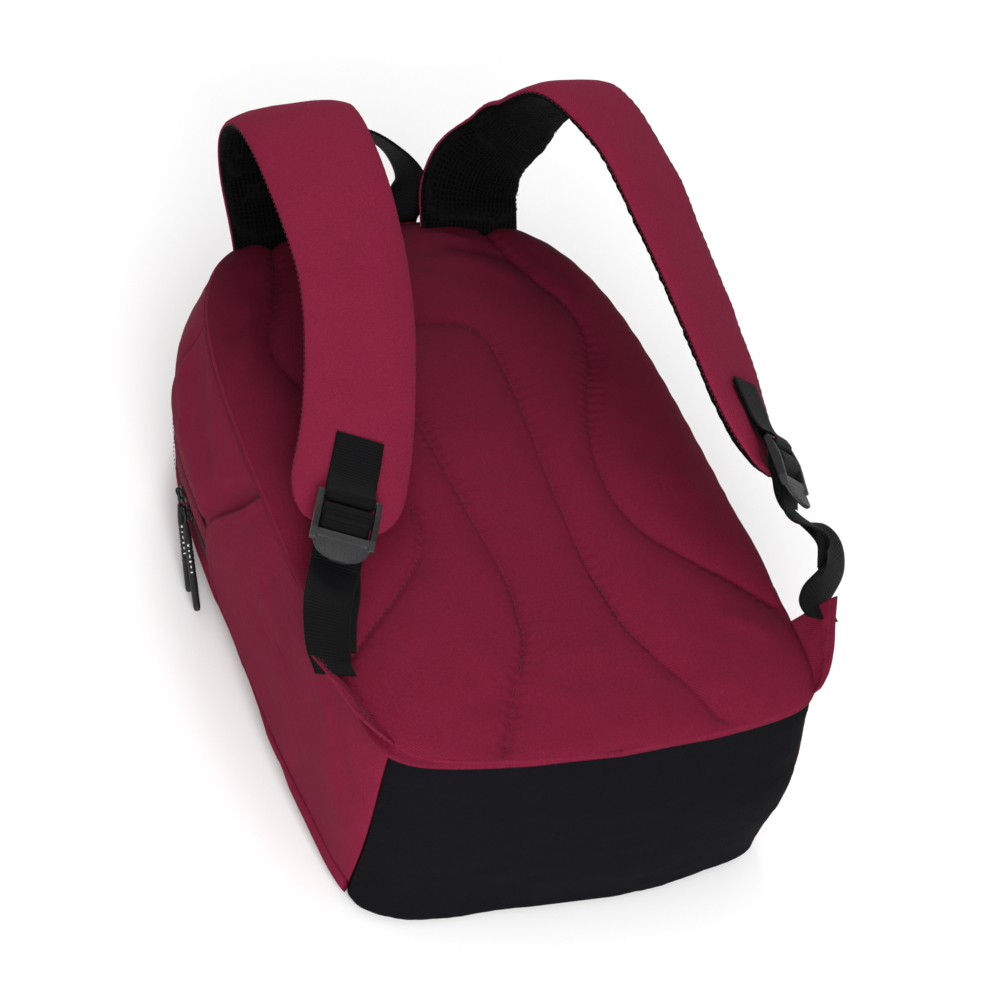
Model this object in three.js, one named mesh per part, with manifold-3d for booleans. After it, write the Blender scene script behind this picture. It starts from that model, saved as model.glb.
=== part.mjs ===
// Travel backpack, lying on its front pocket with the back panel and the shoulder straps facing up.
// Millimetres. +X across the back panel, +Y from the base towards the top, +Z from the front to the back panel.
// Inside the group Y is measured from the base corners; the group is shifted so that the origin is the
// middle of the flat front pocket face that the bag rests on.
import * as THREE from "three";
import { mergeVertices } from "three/addons/utils/BufferGeometryUtils.js";
import Module from "manifold-3d";

const wasm = await Module();
wasm.setup();

// Overall body
const halfWidth = 150;
const baseNarrowing = 11.5;
const bagHeight = 430;
const widestY = 150;
const topSquareness = 4.2;
const cornerSquareness = 12;
const baseBow = 16;
const backSeamZ = 140;
const frontPanelZ = 9;
const frontRadius = 40;
const sideBulge = 3;
const baseBulge = 7;
const restCentreY = 172;

// Fabric thicknesses and the gap between neighbouring pieces
const gap = 0.3;
const wallFabric = 2.4;
const pocketRecess = 9;
const pocketFabric = 1.6;
const facingFabric = 1.8;
const liningFabric = 1.4;

// Back panel
const panelFabric = 2.4;
const panelCrown = 8;
const foamThickness = 8;
const foamInset = pocketRecess + wallFabric + 1.6;

// Laptop sleeve and base board
const laptopGap = 26;
const sleeveWall = 4;
const sleeveHalfWidth = halfWidth - 34;
const sleeveLength = 290;
const sleeveFoot = 14;
const boardThickness = 3;
const boardY = 7;

// Distances down the wall from the back seam
const facingStart = 76;
const zipCentre = 104;
const zipTapeWidth = 11.4;
const pocketEnd = 118;
const rimOverBase = 4;

// Side pockets
const hemLowY = 204;
const hemHighY = 237;
const hemRun = 75;
const recessRelease = 30;

// Top gusset and main zip
const gussetStartY = bagHeight - 78;
const zipEndAboveHem = 6;
const tapeThickness = 1.2;
const tapeDepth = 0.8;

// Front pocket
const frontPocketHalfWidth = 100;
const frontPocketLow = 50;
const frontPocketHigh = 292;
const frontPocketCorner = 18;
const frontZipHalfWidth = 78;

// Straps
const strapRootX = 66.5;
const strapRootWidth = 70;
const strapWidth = 77;
const strapTaper = 0.92;
const strapEndRadius = 34;
const strapEndHalfWidth = 15;
const meshThickness = 1.6;
const foamCore = 7;
const strapShell = 1.8;
const strapRootY = bagHeight - 6;
const strapLift = 7.5;

// Webbing and ladder locks
const webbingWidth = 30;
const webbingThickness = 1.5;
const lockWidth = webbingWidth + 9;
const lockThickness = 4;
const lockHeight = 13.4;
const lockSetback = 13;
const slotClearance = 0.8;
const barHalf = 2.2;
const midBarStart = 9.5;
const midBarEnd = 14.5;
const lowBarStart = 24;
const lowBarEnd = 30;
const lipRadius = lockWidth / 2 - 2.5;
const lipReach = 14;
const tabLength = 45;
const tabClearance = 0.8;
const webbingDip = webbingWidth * 0.165;

// Grab handle
const handleWidth = 25;
const handleThickness = 2.2;
const handleLegX = strapRootX - (strapRootWidth + handleWidth) / 2 - 3;
const handleRootY = bagHeight + 4;
const handleHeight = 62;

// Corner wings
const wingTopY = 62;
const wingReach = webbingWidth;
const wingThickness = 3;
const wingTilt = THREE.MathUtils.degToRad(38);

// Zip sliders and cord pulls
const sliderWidth = 8.2;
const sliderLength = 11;
const sliderThickness = 3.4;
const bridgeHeight = 5;
const bridgeWall = 1.2;
const bridgeFoot = 4.4;
const bridgeWidth = 1.5;
const pullRadius = 2.7;
const pullLength = 58;
const pullLoopRadius = 3.7;
const pullLean = THREE.MathUtils.degToRad(30);
const pullLoopWire = 0.7;
const sliderLowY = 283;
const sliderSpacing = 16;
const sliderClearance = 0.6;
const frontSliderScale = 0.62;
const frontSliderInset = 14;

const burgundy = { color: 0x7a2038, roughness: 0.85, metalness: 0 };
const blackCloth = { color: 0x141417, roughness: 0.9, metalness: 0 };
const blackWeb = { color: 0x1a1a1d, roughness: 0.8, metalness: 0 };
const greyPlastic = { color: 0x37373a, roughness: 0.5, metalness: 0 };
const darkMetal = { color: 0x3a3a3e, roughness: 0.35, metalness: 0.8 };
const foamGrey = { color: 0xb9b9b4, roughness: 1, metalness: 0 };
const liningGrey = { color: 0x4b4b50, roughness: 0.9, metalness: 0 };
const cordBlack = { color: 0x18181a, roughness: 0.6, metalness: 0 };

const eyeHeight = sliderThickness + (bridgeHeight - bridgeWall) / 2;
const straightWall = backSeamZ - frontPanelZ - frontRadius;
const wallLength = straightWall + (Math.PI / 2) * frontRadius;
const strapThickness = meshThickness + foamCore + strapShell + 2 * gap;
const bag = new THREE.Group();
bag.position.y = -restCentreY;

// Removes seams between faces, turns the faces outwards and gives the geometry fresh normals.
function tidy(geometry) {
  geometry.deleteAttribute("normal");
  geometry.deleteAttribute("uv");
  const merged = mergeVertices(geometry, 1e-4);
  const position = merged.attributes.position;
  const index = merged.index.array;
  const [a, b, c] = [new THREE.Vector3(), new THREE.Vector3(), new THREE.Vector3()];
  let volume = 0;
  for (let i = 0; i < index.length; i += 3) {
    a.fromBufferAttribute(position, index[i]);
    b.fromBufferAttribute(position, index[i + 1]);
    c.fromBufferAttribute(position, index[i + 2]);
    volume += a.dot(b.cross(c));
  }
  if (volume < 0) {
    for (let i = 0; i < index.length; i += 3) {
      [index[i + 1], index[i + 2]] = [index[i + 2], index[i + 1]];
    }
  }
  merged.computeVertexNormals();
  return merged;
}

function addMesh(name, geometry, finish, parent = bag) {
  const mesh = new THREE.Mesh(geometry, new THREE.MeshStandardMaterial(finish));
  mesh.name = name;
  parent.add(mesh);
  return mesh;
}

function remap(geometry, place) {
  const position = geometry.attributes.position;
  for (let i = 0; i < position.count; i += 1) {
    const p = place(position.getX(i), position.getY(i), position.getZ(i));
    position.setXYZ(i, p.x, p.y, p.z);
  }
  return tidy(geometry);
}

// A closed sheet: u runs along it, v across it and w through its thickness, each from 0 to 1.
function patch(alongSteps, acrossSteps, place) {
  const box = new THREE.BoxGeometry(1, 1, 1, alongSteps, acrossSteps, 1);
  return remap(box, (x, y, z) => place(x + 0.5, y + 0.5, z + 0.5));
}

// A closed round sheet: stop counts round the rim, ring runs from the middle outwards, side is 0 or 1.
function disc(stops, rings, place) {
  const outward = rings.map((ring) => new THREE.Vector2(ring, 1));
  const inward = [...rings].reverse().map((ring) => new THREE.Vector2(ring, 0));
  const lathe = new THREE.LatheGeometry([...outward, ...inward], stops.length);
  return remap(lathe, (x, y, z) => {
    const ring = Math.hypot(x, z);
    const turn = (Math.atan2(x, z) / (2 * Math.PI) + 1) % 1;
    const stop = Math.round(turn * stops.length) % stops.length;
    return place(stops[stop], ring, y);
  });
}

function solid(geometry) {
  const merged = tidy(geometry);
  const mesh = new wasm.Mesh({
    numProp: 3,
    vertProperties: new Float32Array(merged.attributes.position.array),
    triVerts: new Uint32Array(merged.index.array),
  });
  return new wasm.Manifold(mesh);
}

function fromSolid(manifold) {
  const mesh = manifold.getMesh();
  const geometry = new THREE.BufferGeometry();
  geometry.setAttribute("position", new THREE.BufferAttribute(mesh.vertProperties, 3));
  geometry.setIndex(new THREE.BufferAttribute(mesh.triVerts, 1));
  geometry.computeVertexNormals();
  return geometry;
}

function boxBetween(low, high) {
  const size = high.map((value, i) => value - low[i]);
  const box = new THREE.BoxGeometry(...size);
  return box.translate(...high.map((value, i) => (value + low[i]) / 2));
}

function roundedRectangle(left, low, right, high, radius) {
  const shape = new THREE.Shape();
  shape.absarc(right - radius, high - radius, radius, 0, Math.PI / 2);
  shape.absarc(left + radius, high - radius, radius, Math.PI / 2, Math.PI);
  shape.absarc(left + radius, low + radius, radius, Math.PI, 1.5 * Math.PI);
  shape.absarc(right - radius, low + radius, radius, 1.5 * Math.PI, 2 * Math.PI);
  shape.closePath();
  return shape;
}

// Outline of the bag seen from behind: rounded top, slightly narrower base that bows outwards.
// inset draws it in on every side, puff (0 to 1) adds the fullness of the wall.
function outlinePoint(angle, inset, z, puff) {
  const [c, s] = [Math.cos(angle), Math.sin(angle)];
  const power = 2 / (s > 0 ? topSquareness : cornerSquareness);
  const across = Math.sign(c) * Math.abs(c) ** power;
  const along = Math.sign(s) * Math.abs(s) ** power;
  const reach = (s > 0 ? bagHeight - widestY : widestY) - inset + puff * (s > 0 ? sideBulge : baseBulge);
  let y = widestY + along * reach;
  const low = Math.max(0, -along);
  const narrowing = (baseNarrowing / halfWidth) * low * low;
  const x = across * (halfWidth - inset + puff * sideBulge) * (1 - narrowing);
  y -= baseBow * low * low * (1 - across * across);
  return new THREE.Vector3(x, y, z);
}

// Length along the seam from the middle of the base, up the +X side and over the top.
const seamSteps = 1440;
const seamTable = [0];
for (let i = 1; i <= seamSteps; i += 1) {
  const from = outlinePoint(-Math.PI / 2 + (2 * Math.PI * (i - 1)) / seamSteps, 0, 0, 0);
  const to = outlinePoint(-Math.PI / 2 + (2 * Math.PI * i) / seamSteps, 0, 0, 0);
  seamTable.push(seamTable[i - 1] + from.distanceTo(to));
}
const seamLength = seamTable[seamSteps];

function seamAngle(distance) {
  const wrapped = ((distance % seamLength) + seamLength) % seamLength;
  let i = 1;
  while (seamTable[i] < wrapped) i += 1;
  const part = (wrapped - seamTable[i - 1]) / (seamTable[i] - seamTable[i - 1]);
  return -Math.PI / 2 + (2 * Math.PI * (i - 1 + part)) / seamSteps;
}

// Seam distance on the +X side at a height y; the -X side is its mirror, seamLength less it.
function seamAtHeight(y) {
  let distance = cornerDistance;
  while (outlinePoint(seamAngle(distance), 0, 0, 0).y < y) distance += 0.25;
  return distance;
}

const cornerDistance = seamTable[Math.round(seamSteps / 8)];

// A point on the wall: seam distance, distance down the wall from the back seam, depth below its surface.
function wallPoint(distance, down, depth) {
  const angle = seamAngle(distance);
  if (down < straightWall) {
    return outlinePoint(angle, depth, backSeamZ - down, Math.sin((Math.PI * down) / straightWall));
  }
  const turn = Math.min((down - straightWall) / frontRadius, Math.PI / 2);
  const radius = frontRadius - depth;
  const z = frontPanelZ + frontRadius - radius * Math.sin(turn);
  return outlinePoint(angle, frontRadius - radius * Math.cos(turn), z, 0);
}

const mix = (a, b, t) => a + (b - a) * t;
const smooth = (t) => t * t * (3 - 2 * t);
const clamp01 = (t) => Math.min(Math.max(t, 0), 1);
const spaced = (a, b, steps) => Array.from({ length: steps }, (_, i) => mix(a, b, i / steps));
const mirrored = (stops) => [...stops, ...stops.slice(1).reverse().map((s) => seamLength - s)];

function hemDistance(down) {
  return seamAtHeight(mix(hemLowY, hemHighY, smooth(clamp01(down / hemRun))));
}

// Puts a distance on the +X side (side 1) or on the -X side (side -1).
const onSide = (side, distance) => (side > 0 ? distance : seamLength - distance);

const panelCentre = new THREE.Vector3(0, bagHeight / 2, 0);
const topStop = seamLength / 2;
const panelStops = mirrored([
  ...spaced(0, cornerDistance, 6),
  ...spaced(cornerDistance, seamAtHeight(gussetStartY), 10),
  ...spaced(seamAtHeight(gussetStartY), topStop, 14),
  topStop,
]);

function panelPoint(distance, inset, ring, z) {
  const rim = outlinePoint(seamAngle(distance), inset, 0, 0);
  const point = new THREE.Vector3().lerpVectors(panelCentre, rim, ring);
  point.z = z;
  return point;
}

const crownAt = (ring) => panelCrown * (1 - ring ** 4);

function buildBackPanel() {
  const rings = [0, 0.5, 0.85, 1];
  const shell = disc(panelStops, rings, (distance, ring, side) =>
    panelPoint(distance, 0, ring, backSeamZ + crownAt(ring) + side * panelFabric));
  addMesh("back_panel_shell", shell, burgundy);
  const foamBase = backSeamZ - foamThickness - gap;
  const foam = disc(panelStops, rings, (distance, ring, side) =>
    panelPoint(distance, foamInset, ring, side ? backSeamZ + crownAt(ring) - gap : foamBase));
  addMesh("back_panel_foam", foam, foamGrey);
  const liningTop = foamBase - gap;
  const lining = disc(panelStops, [0, 1], (distance, ring, side) =>
    panelPoint(distance, foamInset, ring, liningTop - (1 - side) * liningFabric));
  addMesh("back_panel_lining", lining, liningGrey);
  return liningTop - liningFabric;
}

function buildSleeveAndBoard(liningZ) {
  const low = liningZ - gap - laptopGap - sleeveWall;
  const outer = boxBetween(
    [-sleeveHalfWidth, sleeveFoot, low],
    [sleeveHalfWidth, sleeveFoot + sleeveLength, liningZ - gap],
  );
  const pocket = boxBetween(
    [-sleeveHalfWidth + sleeveWall, sleeveFoot + sleeveWall, low + sleeveWall],
    [sleeveHalfWidth - sleeveWall, sleeveFoot + sleeveLength + 1, liningZ + 1],
  );
  addMesh("laptop_sleeve", fromSolid(solid(outer).subtract(solid(pocket))), liningGrey);
  const board = boxBetween(
    [-sleeveHalfWidth, boardY, frontPanelZ + frontRadius],
    [sleeveHalfWidth, boardY + boardThickness, low - gap],
  );
  addMesh("base_board", board, greyPlastic);
}

function buildBase() {
  const end = cornerDistance - gap;
  const panel = patch(14, 8, (u, v, w) =>
    wallPoint(mix(-end, end, u), mix(gap, wallLength - rimOverBase - gap, v), w * wallFabric));
  addMesh("base_panel", panel, blackCloth);
}

// Side panel: set back behind the pocket, flush with the wall above it.
function buildSide(side, word) {
  const start = () => cornerDistance + gap;
  const knots = [
    { at: start, depth: pocketRecess, end: pocketEnd, steps: 6 },
    { at: (down) => hemDistance(down) + 2, depth: pocketRecess, end: pocketEnd, steps: 1 },
    { at: (down) => hemDistance(down) + 4, depth: pocketRecess - 0.6, end: facingStart, steps: 1 },
    { at: (down) => hemDistance(down) + recessRelease, depth: 0, end: facingStart, steps: 3 },
    { at: () => seamAtHeight(gussetStartY), depth: 0, end: facingStart, steps: 0 },
  ];
  const steps = knots.reduce((sum, knot) => sum + knot.steps, 0);
  const panel = patch(steps, 6, (u, v, w) => {
    let place = Math.round(u * steps);
    let i = 0;
    while (i < knots.length - 2 && place > knots[i].steps) {
      place -= knots[i].steps;
      i += 1;
    }
    const t = place / knots[i].steps;
    const down = mix(gap, mix(knots[i].end, knots[i + 1].end, t), v);
    const distance = mix(knots[i].at(down), knots[i + 1].at(down), t);
    const depth = mix(knots[i].depth, knots[i + 1].depth, t);
    return wallPoint(onSide(side, distance), down, depth + w * wallFabric);
  });
  addMesh("side_panel_" + word, panel, burgundy);
  const pocket = patch(7, 8, (u, v, w) => {
    const down = mix(gap, pocketEnd, v);
    return wallPoint(onSide(side, mix(start(), hemDistance(down), u)), down, w * pocketFabric);
  });
  addMesh("side_pocket_" + word, pocket, burgundy);
}

function buildTopAndZip() {
  const gussetFrom = seamAtHeight(gussetStartY) + gap;
  const gusset = patch(22, 3, (u, v, w) =>
    wallPoint(mix(gussetFrom, seamLength - gussetFrom, u), mix(gap, facingStart, v), w * wallFabric));
  addMesh("top_gusset", gusset, burgundy);
  const zipFrom = hemDistance(pocketEnd) + zipEndAboveHem;
  const tapeLow = zipCentre - zipTapeWidth / 2;
  const facing = patch(40, 1, (u, v, w) => {
    const distance = mix(zipFrom, seamLength - zipFrom, u);
    return wallPoint(distance, mix(facingStart + gap, tapeLow - gap, v), w * facingFabric);
  });
  addMesh("zip_facing", facing, burgundy);
  const tape = patch(40, 1, (u, v, w) => {
    const distance = mix(zipFrom, seamLength - zipFrom, u);
    return wallPoint(distance, mix(tapeLow, tapeLow + zipTapeWidth, v), tapeDepth + w * tapeThickness);
  });
  addMesh("main_zip_tape", tape, blackCloth);
  return zipFrom;
}

function buildFront(zipFrom) {
  const hemEnd = hemDistance(pocketEnd);
  const stops = mirrored([
    ...spaced(0, cornerDistance - gap, 4),
    cornerDistance - gap,
    ...spaced(cornerDistance + gap, hemEnd + gap, 6),
    hemEnd + gap,
    ...spaced(zipFrom, seamAtHeight(gussetStartY), 5),
    ...spaced(seamAtHeight(gussetStartY), topStop, 9),
    topStop,
  ]);
  const zipRim = zipCentre + zipTapeWidth / 2 + gap;
  const rimOf = (distance) => {
    const near = Math.min(distance, seamLength - distance);
    if (near < cornerDistance) return wallLength - rimOverBase;
    return near < zipFrom - gap ? pocketEnd + gap : zipRim;
  };
  const middle = new THREE.Vector3(0, bagHeight / 2, 0);
  const panel = disc(stops, [0, 1, 1.35, 1.7, 2], (distance, ring, side) => {
    const depth = (1 - side) * wallFabric;
    if (ring < 1) {
      middle.z = frontPanelZ + depth;
      return middle.clone();
    }
    return wallPoint(distance, mix(wallLength, rimOf(distance), ring - 1), depth);
  });
  addMesh("front_panel", panel, burgundy);
}

function buildFrontPocket() {
  const depth = frontPanelZ - gap;
  const [w, low, high, r] = [frontPocketHalfWidth, frontPocketLow, frontPocketHigh, frontPocketCorner];
  const t = wallFabric;
  const outer = new THREE.ExtrudeGeometry(roundedRectangle(-w, low, w, high, r),
    { depth, bevelEnabled: false, curveSegments: 5 });
  const inner = new THREE.ExtrudeGeometry(roundedRectangle(-w + t, low + t, w - t, high - t, r - t),
    { depth, bevelEnabled: false, curveSegments: 5 });
  const mouth = boxBetween([-frontZipHalfWidth, high - r, t], [frontZipHalfWidth, high + 1, depth + 1]);
  const tray = solid(outer).subtract(solid(inner.translate(0, 0, t))).subtract(solid(mouth));
  addMesh("front_pocket_panel", fromSolid(tray), burgundy);
  const tape = boxBetween(
    [-frontZipHalfWidth + gap, high - t, t + gap],
    [frontZipHalfWidth - gap, high - t + tapeThickness, depth],
  );
  addMesh("front_zip_tape", tape, blackCloth);
}

// Places a geometry made along local x, y, z in the frame given by an origin and three directions.
function inFrame(geometry, origin, x, y, z) {
  return geometry.applyMatrix4(new THREE.Matrix4().makeBasis(x, y, z).setPosition(origin));
}

// Slider with its bridge: local x across the zip, y along it, z away from the bag.
function sliderGeometry() {
  const [hw, hl] = [sliderWidth / 2, sliderLength / 2];
  const plate = new THREE.ExtrudeGeometry(roundedRectangle(-hw, -hl, hw, hl, 2.5),
    { depth: sliderThickness, bevelEnabled: false, curveSegments: 4 });
  const arch = new THREE.Shape();
  arch.moveTo(-bridgeFoot, 0);
  arch.lineTo(bridgeFoot, 0);
  arch.lineTo(bridgeFoot - bridgeWall, bridgeHeight);
  arch.lineTo(-bridgeFoot + bridgeWall, bridgeHeight);
  arch.closePath();
  const eye = new THREE.Path();
  const eyeHalf = bridgeFoot - bridgeWall;
  eye.moveTo(-eyeHalf, bridgeWall / 2);
  eye.lineTo(-eyeHalf + bridgeWall / 2, bridgeHeight - bridgeWall);
  eye.lineTo(eyeHalf - bridgeWall / 2, bridgeHeight - bridgeWall);
  eye.lineTo(eyeHalf, bridgeWall / 2);
  eye.closePath();
  arch.holes.push(eye);
  const bridge = new THREE.ExtrudeGeometry(arch, { depth: bridgeWidth, bevelEnabled: false });
  bridge.translate(0, 0, -bridgeWidth / 2);
  const up = new THREE.Vector3(0, 0, 1);
  inFrame(bridge, new THREE.Vector3(0, 0, sliderThickness - bridgeWall / 2),
    new THREE.Vector3(0, 1, 0), up, new THREE.Vector3(1, 0, 0));
  return fromSolid(solid(plate).add(solid(bridge)));
}

// Cord pull: the eye it hangs in is the origin and its wire loop lies flat; the cord runs along
// local -y, turned towards local -x by the given angle.
function pullGeometry(lean) {
  const cord = new THREE.CapsuleGeometry(pullRadius, pullLength - 2 * pullRadius, 3, 12, 8);
  cord.translate(0, pullLoopWire / 2 - 2 * pullLoopRadius - pullLength / 2, 0);
  const loop = new THREE.TorusGeometry(pullLoopRadius, pullLoopWire, 6, 14);
  const whole = fromSolid(solid(cord).add(solid(loop.translate(0, -pullLoopRadius, 0))));
  return whole.rotateZ(-lean);
}

function buildMainSliders() {
  const words = ["low", "high"];
  words.forEach((word, i) => {
    const y = sliderLowY + i * sliderSpacing;
    const distance = onSide(-1, seamAtHeight(y));
    const above = onSide(-1, seamAtHeight(y + sliderSpacing));
    const across = wallPoint(distance, zipCentre - 1, 0).sub(wallPoint(distance, zipCentre + 1, 0)).normalize();
    const along = wallPoint(above, zipCentre, 0).sub(wallPoint(distance, zipCentre, 0)).normalize();
    const out = new THREE.Vector3().crossVectors(across, along).normalize();
    across.crossVectors(along, out);
    const seat = wallPoint(distance, zipCentre, tapeDepth).addScaledVector(out, sliderClearance);
    addMesh("main_slider_" + word, inFrame(sliderGeometry(), seat, across, along, out), darkMetal);
    const pull = inFrame(pullGeometry(pullLean), seat.clone().addScaledVector(out, eyeHeight), across, along, out);
    addMesh("main_pull_" + word, pull, cordBlack);
  });
}

function buildFrontSlider() {
  const y = frontPocketHigh - wallFabric + tapeThickness + gap;
  const z = (wallFabric + frontPanelZ) / 2;
  const across = new THREE.Vector3(0, 0, 1);
  const along = new THREE.Vector3(1, 0, 0);
  const out = new THREE.Vector3(0, 1, 0);
  const slider = sliderGeometry().scale(frontSliderScale, 1, 1);
  const seat = new THREE.Vector3(frontZipHalfWidth - frontSliderInset, y, z);
  addMesh("front_slider", inFrame(slider, seat, across, along, out), darkMetal);
  const pull = pullGeometry(0).scale(frontSliderScale, 1, 1);
  inFrame(pull, seat.clone().addScaledVector(out, eyeHeight), across, along, out);
  addMesh("front_pull", pull, cordBlack);
}

// A path through points, each with the direction in which the ribbon is wide there.
function ribbonPath(knots) {
  const curve = new THREE.CatmullRomCurve3(knots.map((knot) => new THREE.Vector3(...knot.at)), false, "centripetal");
  const wide = new THREE.CatmullRomCurve3(knots.map((knot) => new THREE.Vector3(...knot.wide)), false, "centripetal");
  const length = curve.getLength();
  return {
    length,
    frameAt(fraction) {
      const u = clamp01(fraction);
      const t = curve.getUtoTmapping(u);
      const point = curve.getPoint(t);
      const along = curve.getTangent(t);
      const across = wide.getPoint(t).addScaledVector(along, -wide.getPoint(t).dot(along)).normalize();
      const out = new THREE.Vector3().crossVectors(along, across);
      return { point, along, across, out };
    },
  };
}

// A flat strip along a path: halfWidthAt gives its half width, low and high its faces off the path.
function ribbon(path, from, to, steps, halfWidthAt, low, high, across = 2) {
  return patch(steps, across, (u, v, w) => {
    const fraction = mix(from, to, u);
    const frame = path.frameAt(fraction);
    return frame.point.clone()
      .addScaledVector(frame.across, (2 * v - 1) * halfWidthAt(fraction))
      .addScaledVector(frame.out, mix(low, high, w));
  });
}

// A point on a strap: how far it has moved out from the root towards the bag's side (0 to 1), its
// height over the root and its height over the back seam.
function strapPoint(side, outward, above, lift) {
  return [side * mix(strapRootX, halfWidth, outward), strapRootY + above, backSeamZ + lift];
}

// Centre lines of the straps: the left one lies low over the panel, the right one stands out to the side.
const strapKnots = {
  left: [
    { at: strapPoint(-1, 0, 0, strapLift), wide: [1, 0, 0] },
    { at: strapPoint(-1, 0.006, 28, 34), wide: [1, 0, 0.05] },
    { at: strapPoint(-1, 0.03, 32, 66), wide: [0.99, 0, 0.12] },
    { at: strapPoint(-1, 0.054, 8, 95), wide: [0.98, 0, 0.18] },
    { at: strapPoint(-1, 0.066, -44, 100), wide: [0.99, 0, 0.1] },
    { at: strapPoint(-1, 0.09, -124, 76), wide: [0.99, 0, -0.1] },
    { at: strapPoint(-1, 0.33, -206, 44), wide: [1, -0.04, -0.04] },
    { at: strapPoint(-1, 0.68, -270, 25), wide: [0.97, -0.22, 0] },
  ],
  right: [
    { at: strapPoint(1, 0, 0, strapLift), wide: [1, 0, 0] },
    { at: strapPoint(1, 0.05, 17, 22), wide: [1, 0.02, -0.02] },
    { at: strapPoint(1, 0.26, 27, 46), wide: [0.99, 0.05, -0.1] },
    { at: strapPoint(1, 0.473, 27, 76), wide: [0.96, 0.15, -0.15] },
    { at: strapPoint(1, 0.617, 4, 110), wide: [0.93, 0.25, -0.25] },
    { at: strapPoint(1, 0.82, -49, 108), wide: [0.88, 0.2, -0.4] },
    { at: strapPoint(1, 0.892, -119, 94), wide: [0.86, 0.1, -0.48] },
    { at: strapPoint(1, 0.892, -194, 82), wide: [0.84, 0.1, -0.52] },
    { at: strapPoint(1, 0.868, -246, 73), wide: [0.8, 0.15, -0.58] },
    { at: strapPoint(1, 0.892, -292, 60), wide: [0.7, 0.25, -0.68] },
  ],
};

function strapHalfWidth(fraction, length) {
  const fromRoot = fraction * length;
  const taper = mix(1, strapTaper, smooth(clamp01((fromRoot - 180) / 180)));
  const full = (taper * mix(strapRootWidth, strapWidth, smooth(clamp01(fromRoot / 120)))) / 2;
  const toEnd = length - fromRoot;
  if (toEnd >= strapEndRadius) return full;
  const t = 1 - toEnd / strapEndRadius;
  return mix(strapEndHalfWidth, full, Math.sqrt(Math.max(0, 1 - t * t)));
}

// Places a point given by its distance past the top bar, across the webbing, and off the lock's plane.
function lockFrame(path) {
  const end = path.frameAt(1 - lockSetback / path.length);
  return {
    ...end,
    centre: end.point.clone().addScaledVector(end.out, lockHeight),
    place(past, off) {
      return this.centre.clone().addScaledVector(end.along, past).addScaledVector(end.out, off).toArray();
    },
  };
}

// Ladder lock: a plate with two slots, a round top bar and a rounded lip.
function lockGeometry() {
  const hw = lockWidth / 2;
  const slotHalf = webbingWidth / 2 + slotClearance;
  const shape = new THREE.Shape();
  shape.moveTo(-hw, -barHalf);
  shape.lineTo(-slotHalf, -barHalf);
  shape.lineTo(-slotHalf, midBarStart);
  shape.lineTo(slotHalf, midBarStart);
  shape.lineTo(slotHalf, -barHalf);
  shape.lineTo(hw, -barHalf);
  shape.lineTo(hw, lowBarEnd);
  shape.absellipse(0, lowBarEnd, lipRadius, lipReach, 0, Math.PI);
  shape.lineTo(-hw, lowBarEnd);
  shape.closePath();
  shape.holes.push(new THREE.Path([
    new THREE.Vector2(-slotHalf, midBarEnd),
    new THREE.Vector2(-slotHalf, lowBarStart),
    new THREE.Vector2(slotHalf, lowBarStart),
    new THREE.Vector2(slotHalf, midBarEnd),
  ]));
  const plate = new THREE.ExtrudeGeometry(shape, { depth: lockThickness, bevelEnabled: false, curveSegments: 8 });
  plate.translate(0, 0, -lockThickness / 2);
  const bar = new THREE.CylinderGeometry(barHalf, barHalf, slotHalf + hw, 16);
  return fromSolid(solid(plate).add(solid(bar.rotateZ(Math.PI / 2))));
}

// Webbing sewn on the strap's face: it runs to the lock's top bar, round it and back on itself.
function tabPath(path, lock) {
  const wide = lock.across.toArray();
  const flat = strapThickness / 2 + tabClearance + webbingThickness / 2;
  const loop = barHalf + gap + webbingThickness / 2 + 0.2;
  const onStrap = (back, off) => {
    const frame = path.frameAt(1 - (lockSetback + back) / path.length);
    return { at: frame.point.addScaledVector(frame.out, off).toArray(), wide: frame.across.toArray() };
  };
  const second = flat + webbingThickness + 0.5;
  const atLock = (past, off) => ({ at: lock.place(past, off), wide });
  return ribbonPath([
    onStrap(tabLength, flat),
    onStrap(tabLength * 0.6, flat),
    onStrap(14, flat),
    onStrap(6, flat + 1),
    atLock(0.4, -loop),
    atLock(loop * 0.75, -loop * 0.7),
    atLock(loop, 0),
    atLock(loop * 0.75, loop * 0.7),
    atLock(0, loop),
    atLock(-3, loop - 0.8),
    onStrap(9, second + 2.6),
    onStrap(16, second + 0.5),
    onStrap(tabLength * 0.7, second),
  ]);
}

// Lower webbing: from the wing up under the lip, over the middle bar and back down as a free tail.
function webbingKnots(lock, side, run, tail) {
  const wide = lock.across.toArray();
  const atLock = (past, off) => ({ at: lock.place(past, off), wide });
  return [
    ...run,
    atLock(43, -2.3 - webbingDip),
    atLock(31, -2 - webbingDip / 2),
    atLock(24.5, -3.4),
    atLock(19.2, -0.6),
    atLock(16, 2.6),
    atLock(12, 3.4),
    atLock(8.2, 2.6),
    atLock(5.9, -0.4),
    atLock(8, -4.2),
    atLock(14, -6.2),
    atLock(24, -7.4),
    atLock(36, -9),
    ...tail,
  ];
}

function wingPlace(side, along, reach) {
  const distance = seamAtHeight(mix(4, wingTopY, along));
  const seam = wallPoint(onSide(side, distance), 0, 0);
  return [
    seam.x + side * (gap + 0.3 + reach * Math.cos(wingTilt)),
    seam.y,
    seam.z + 2 + reach * Math.sin(wingTilt),
  ];
}

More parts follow.
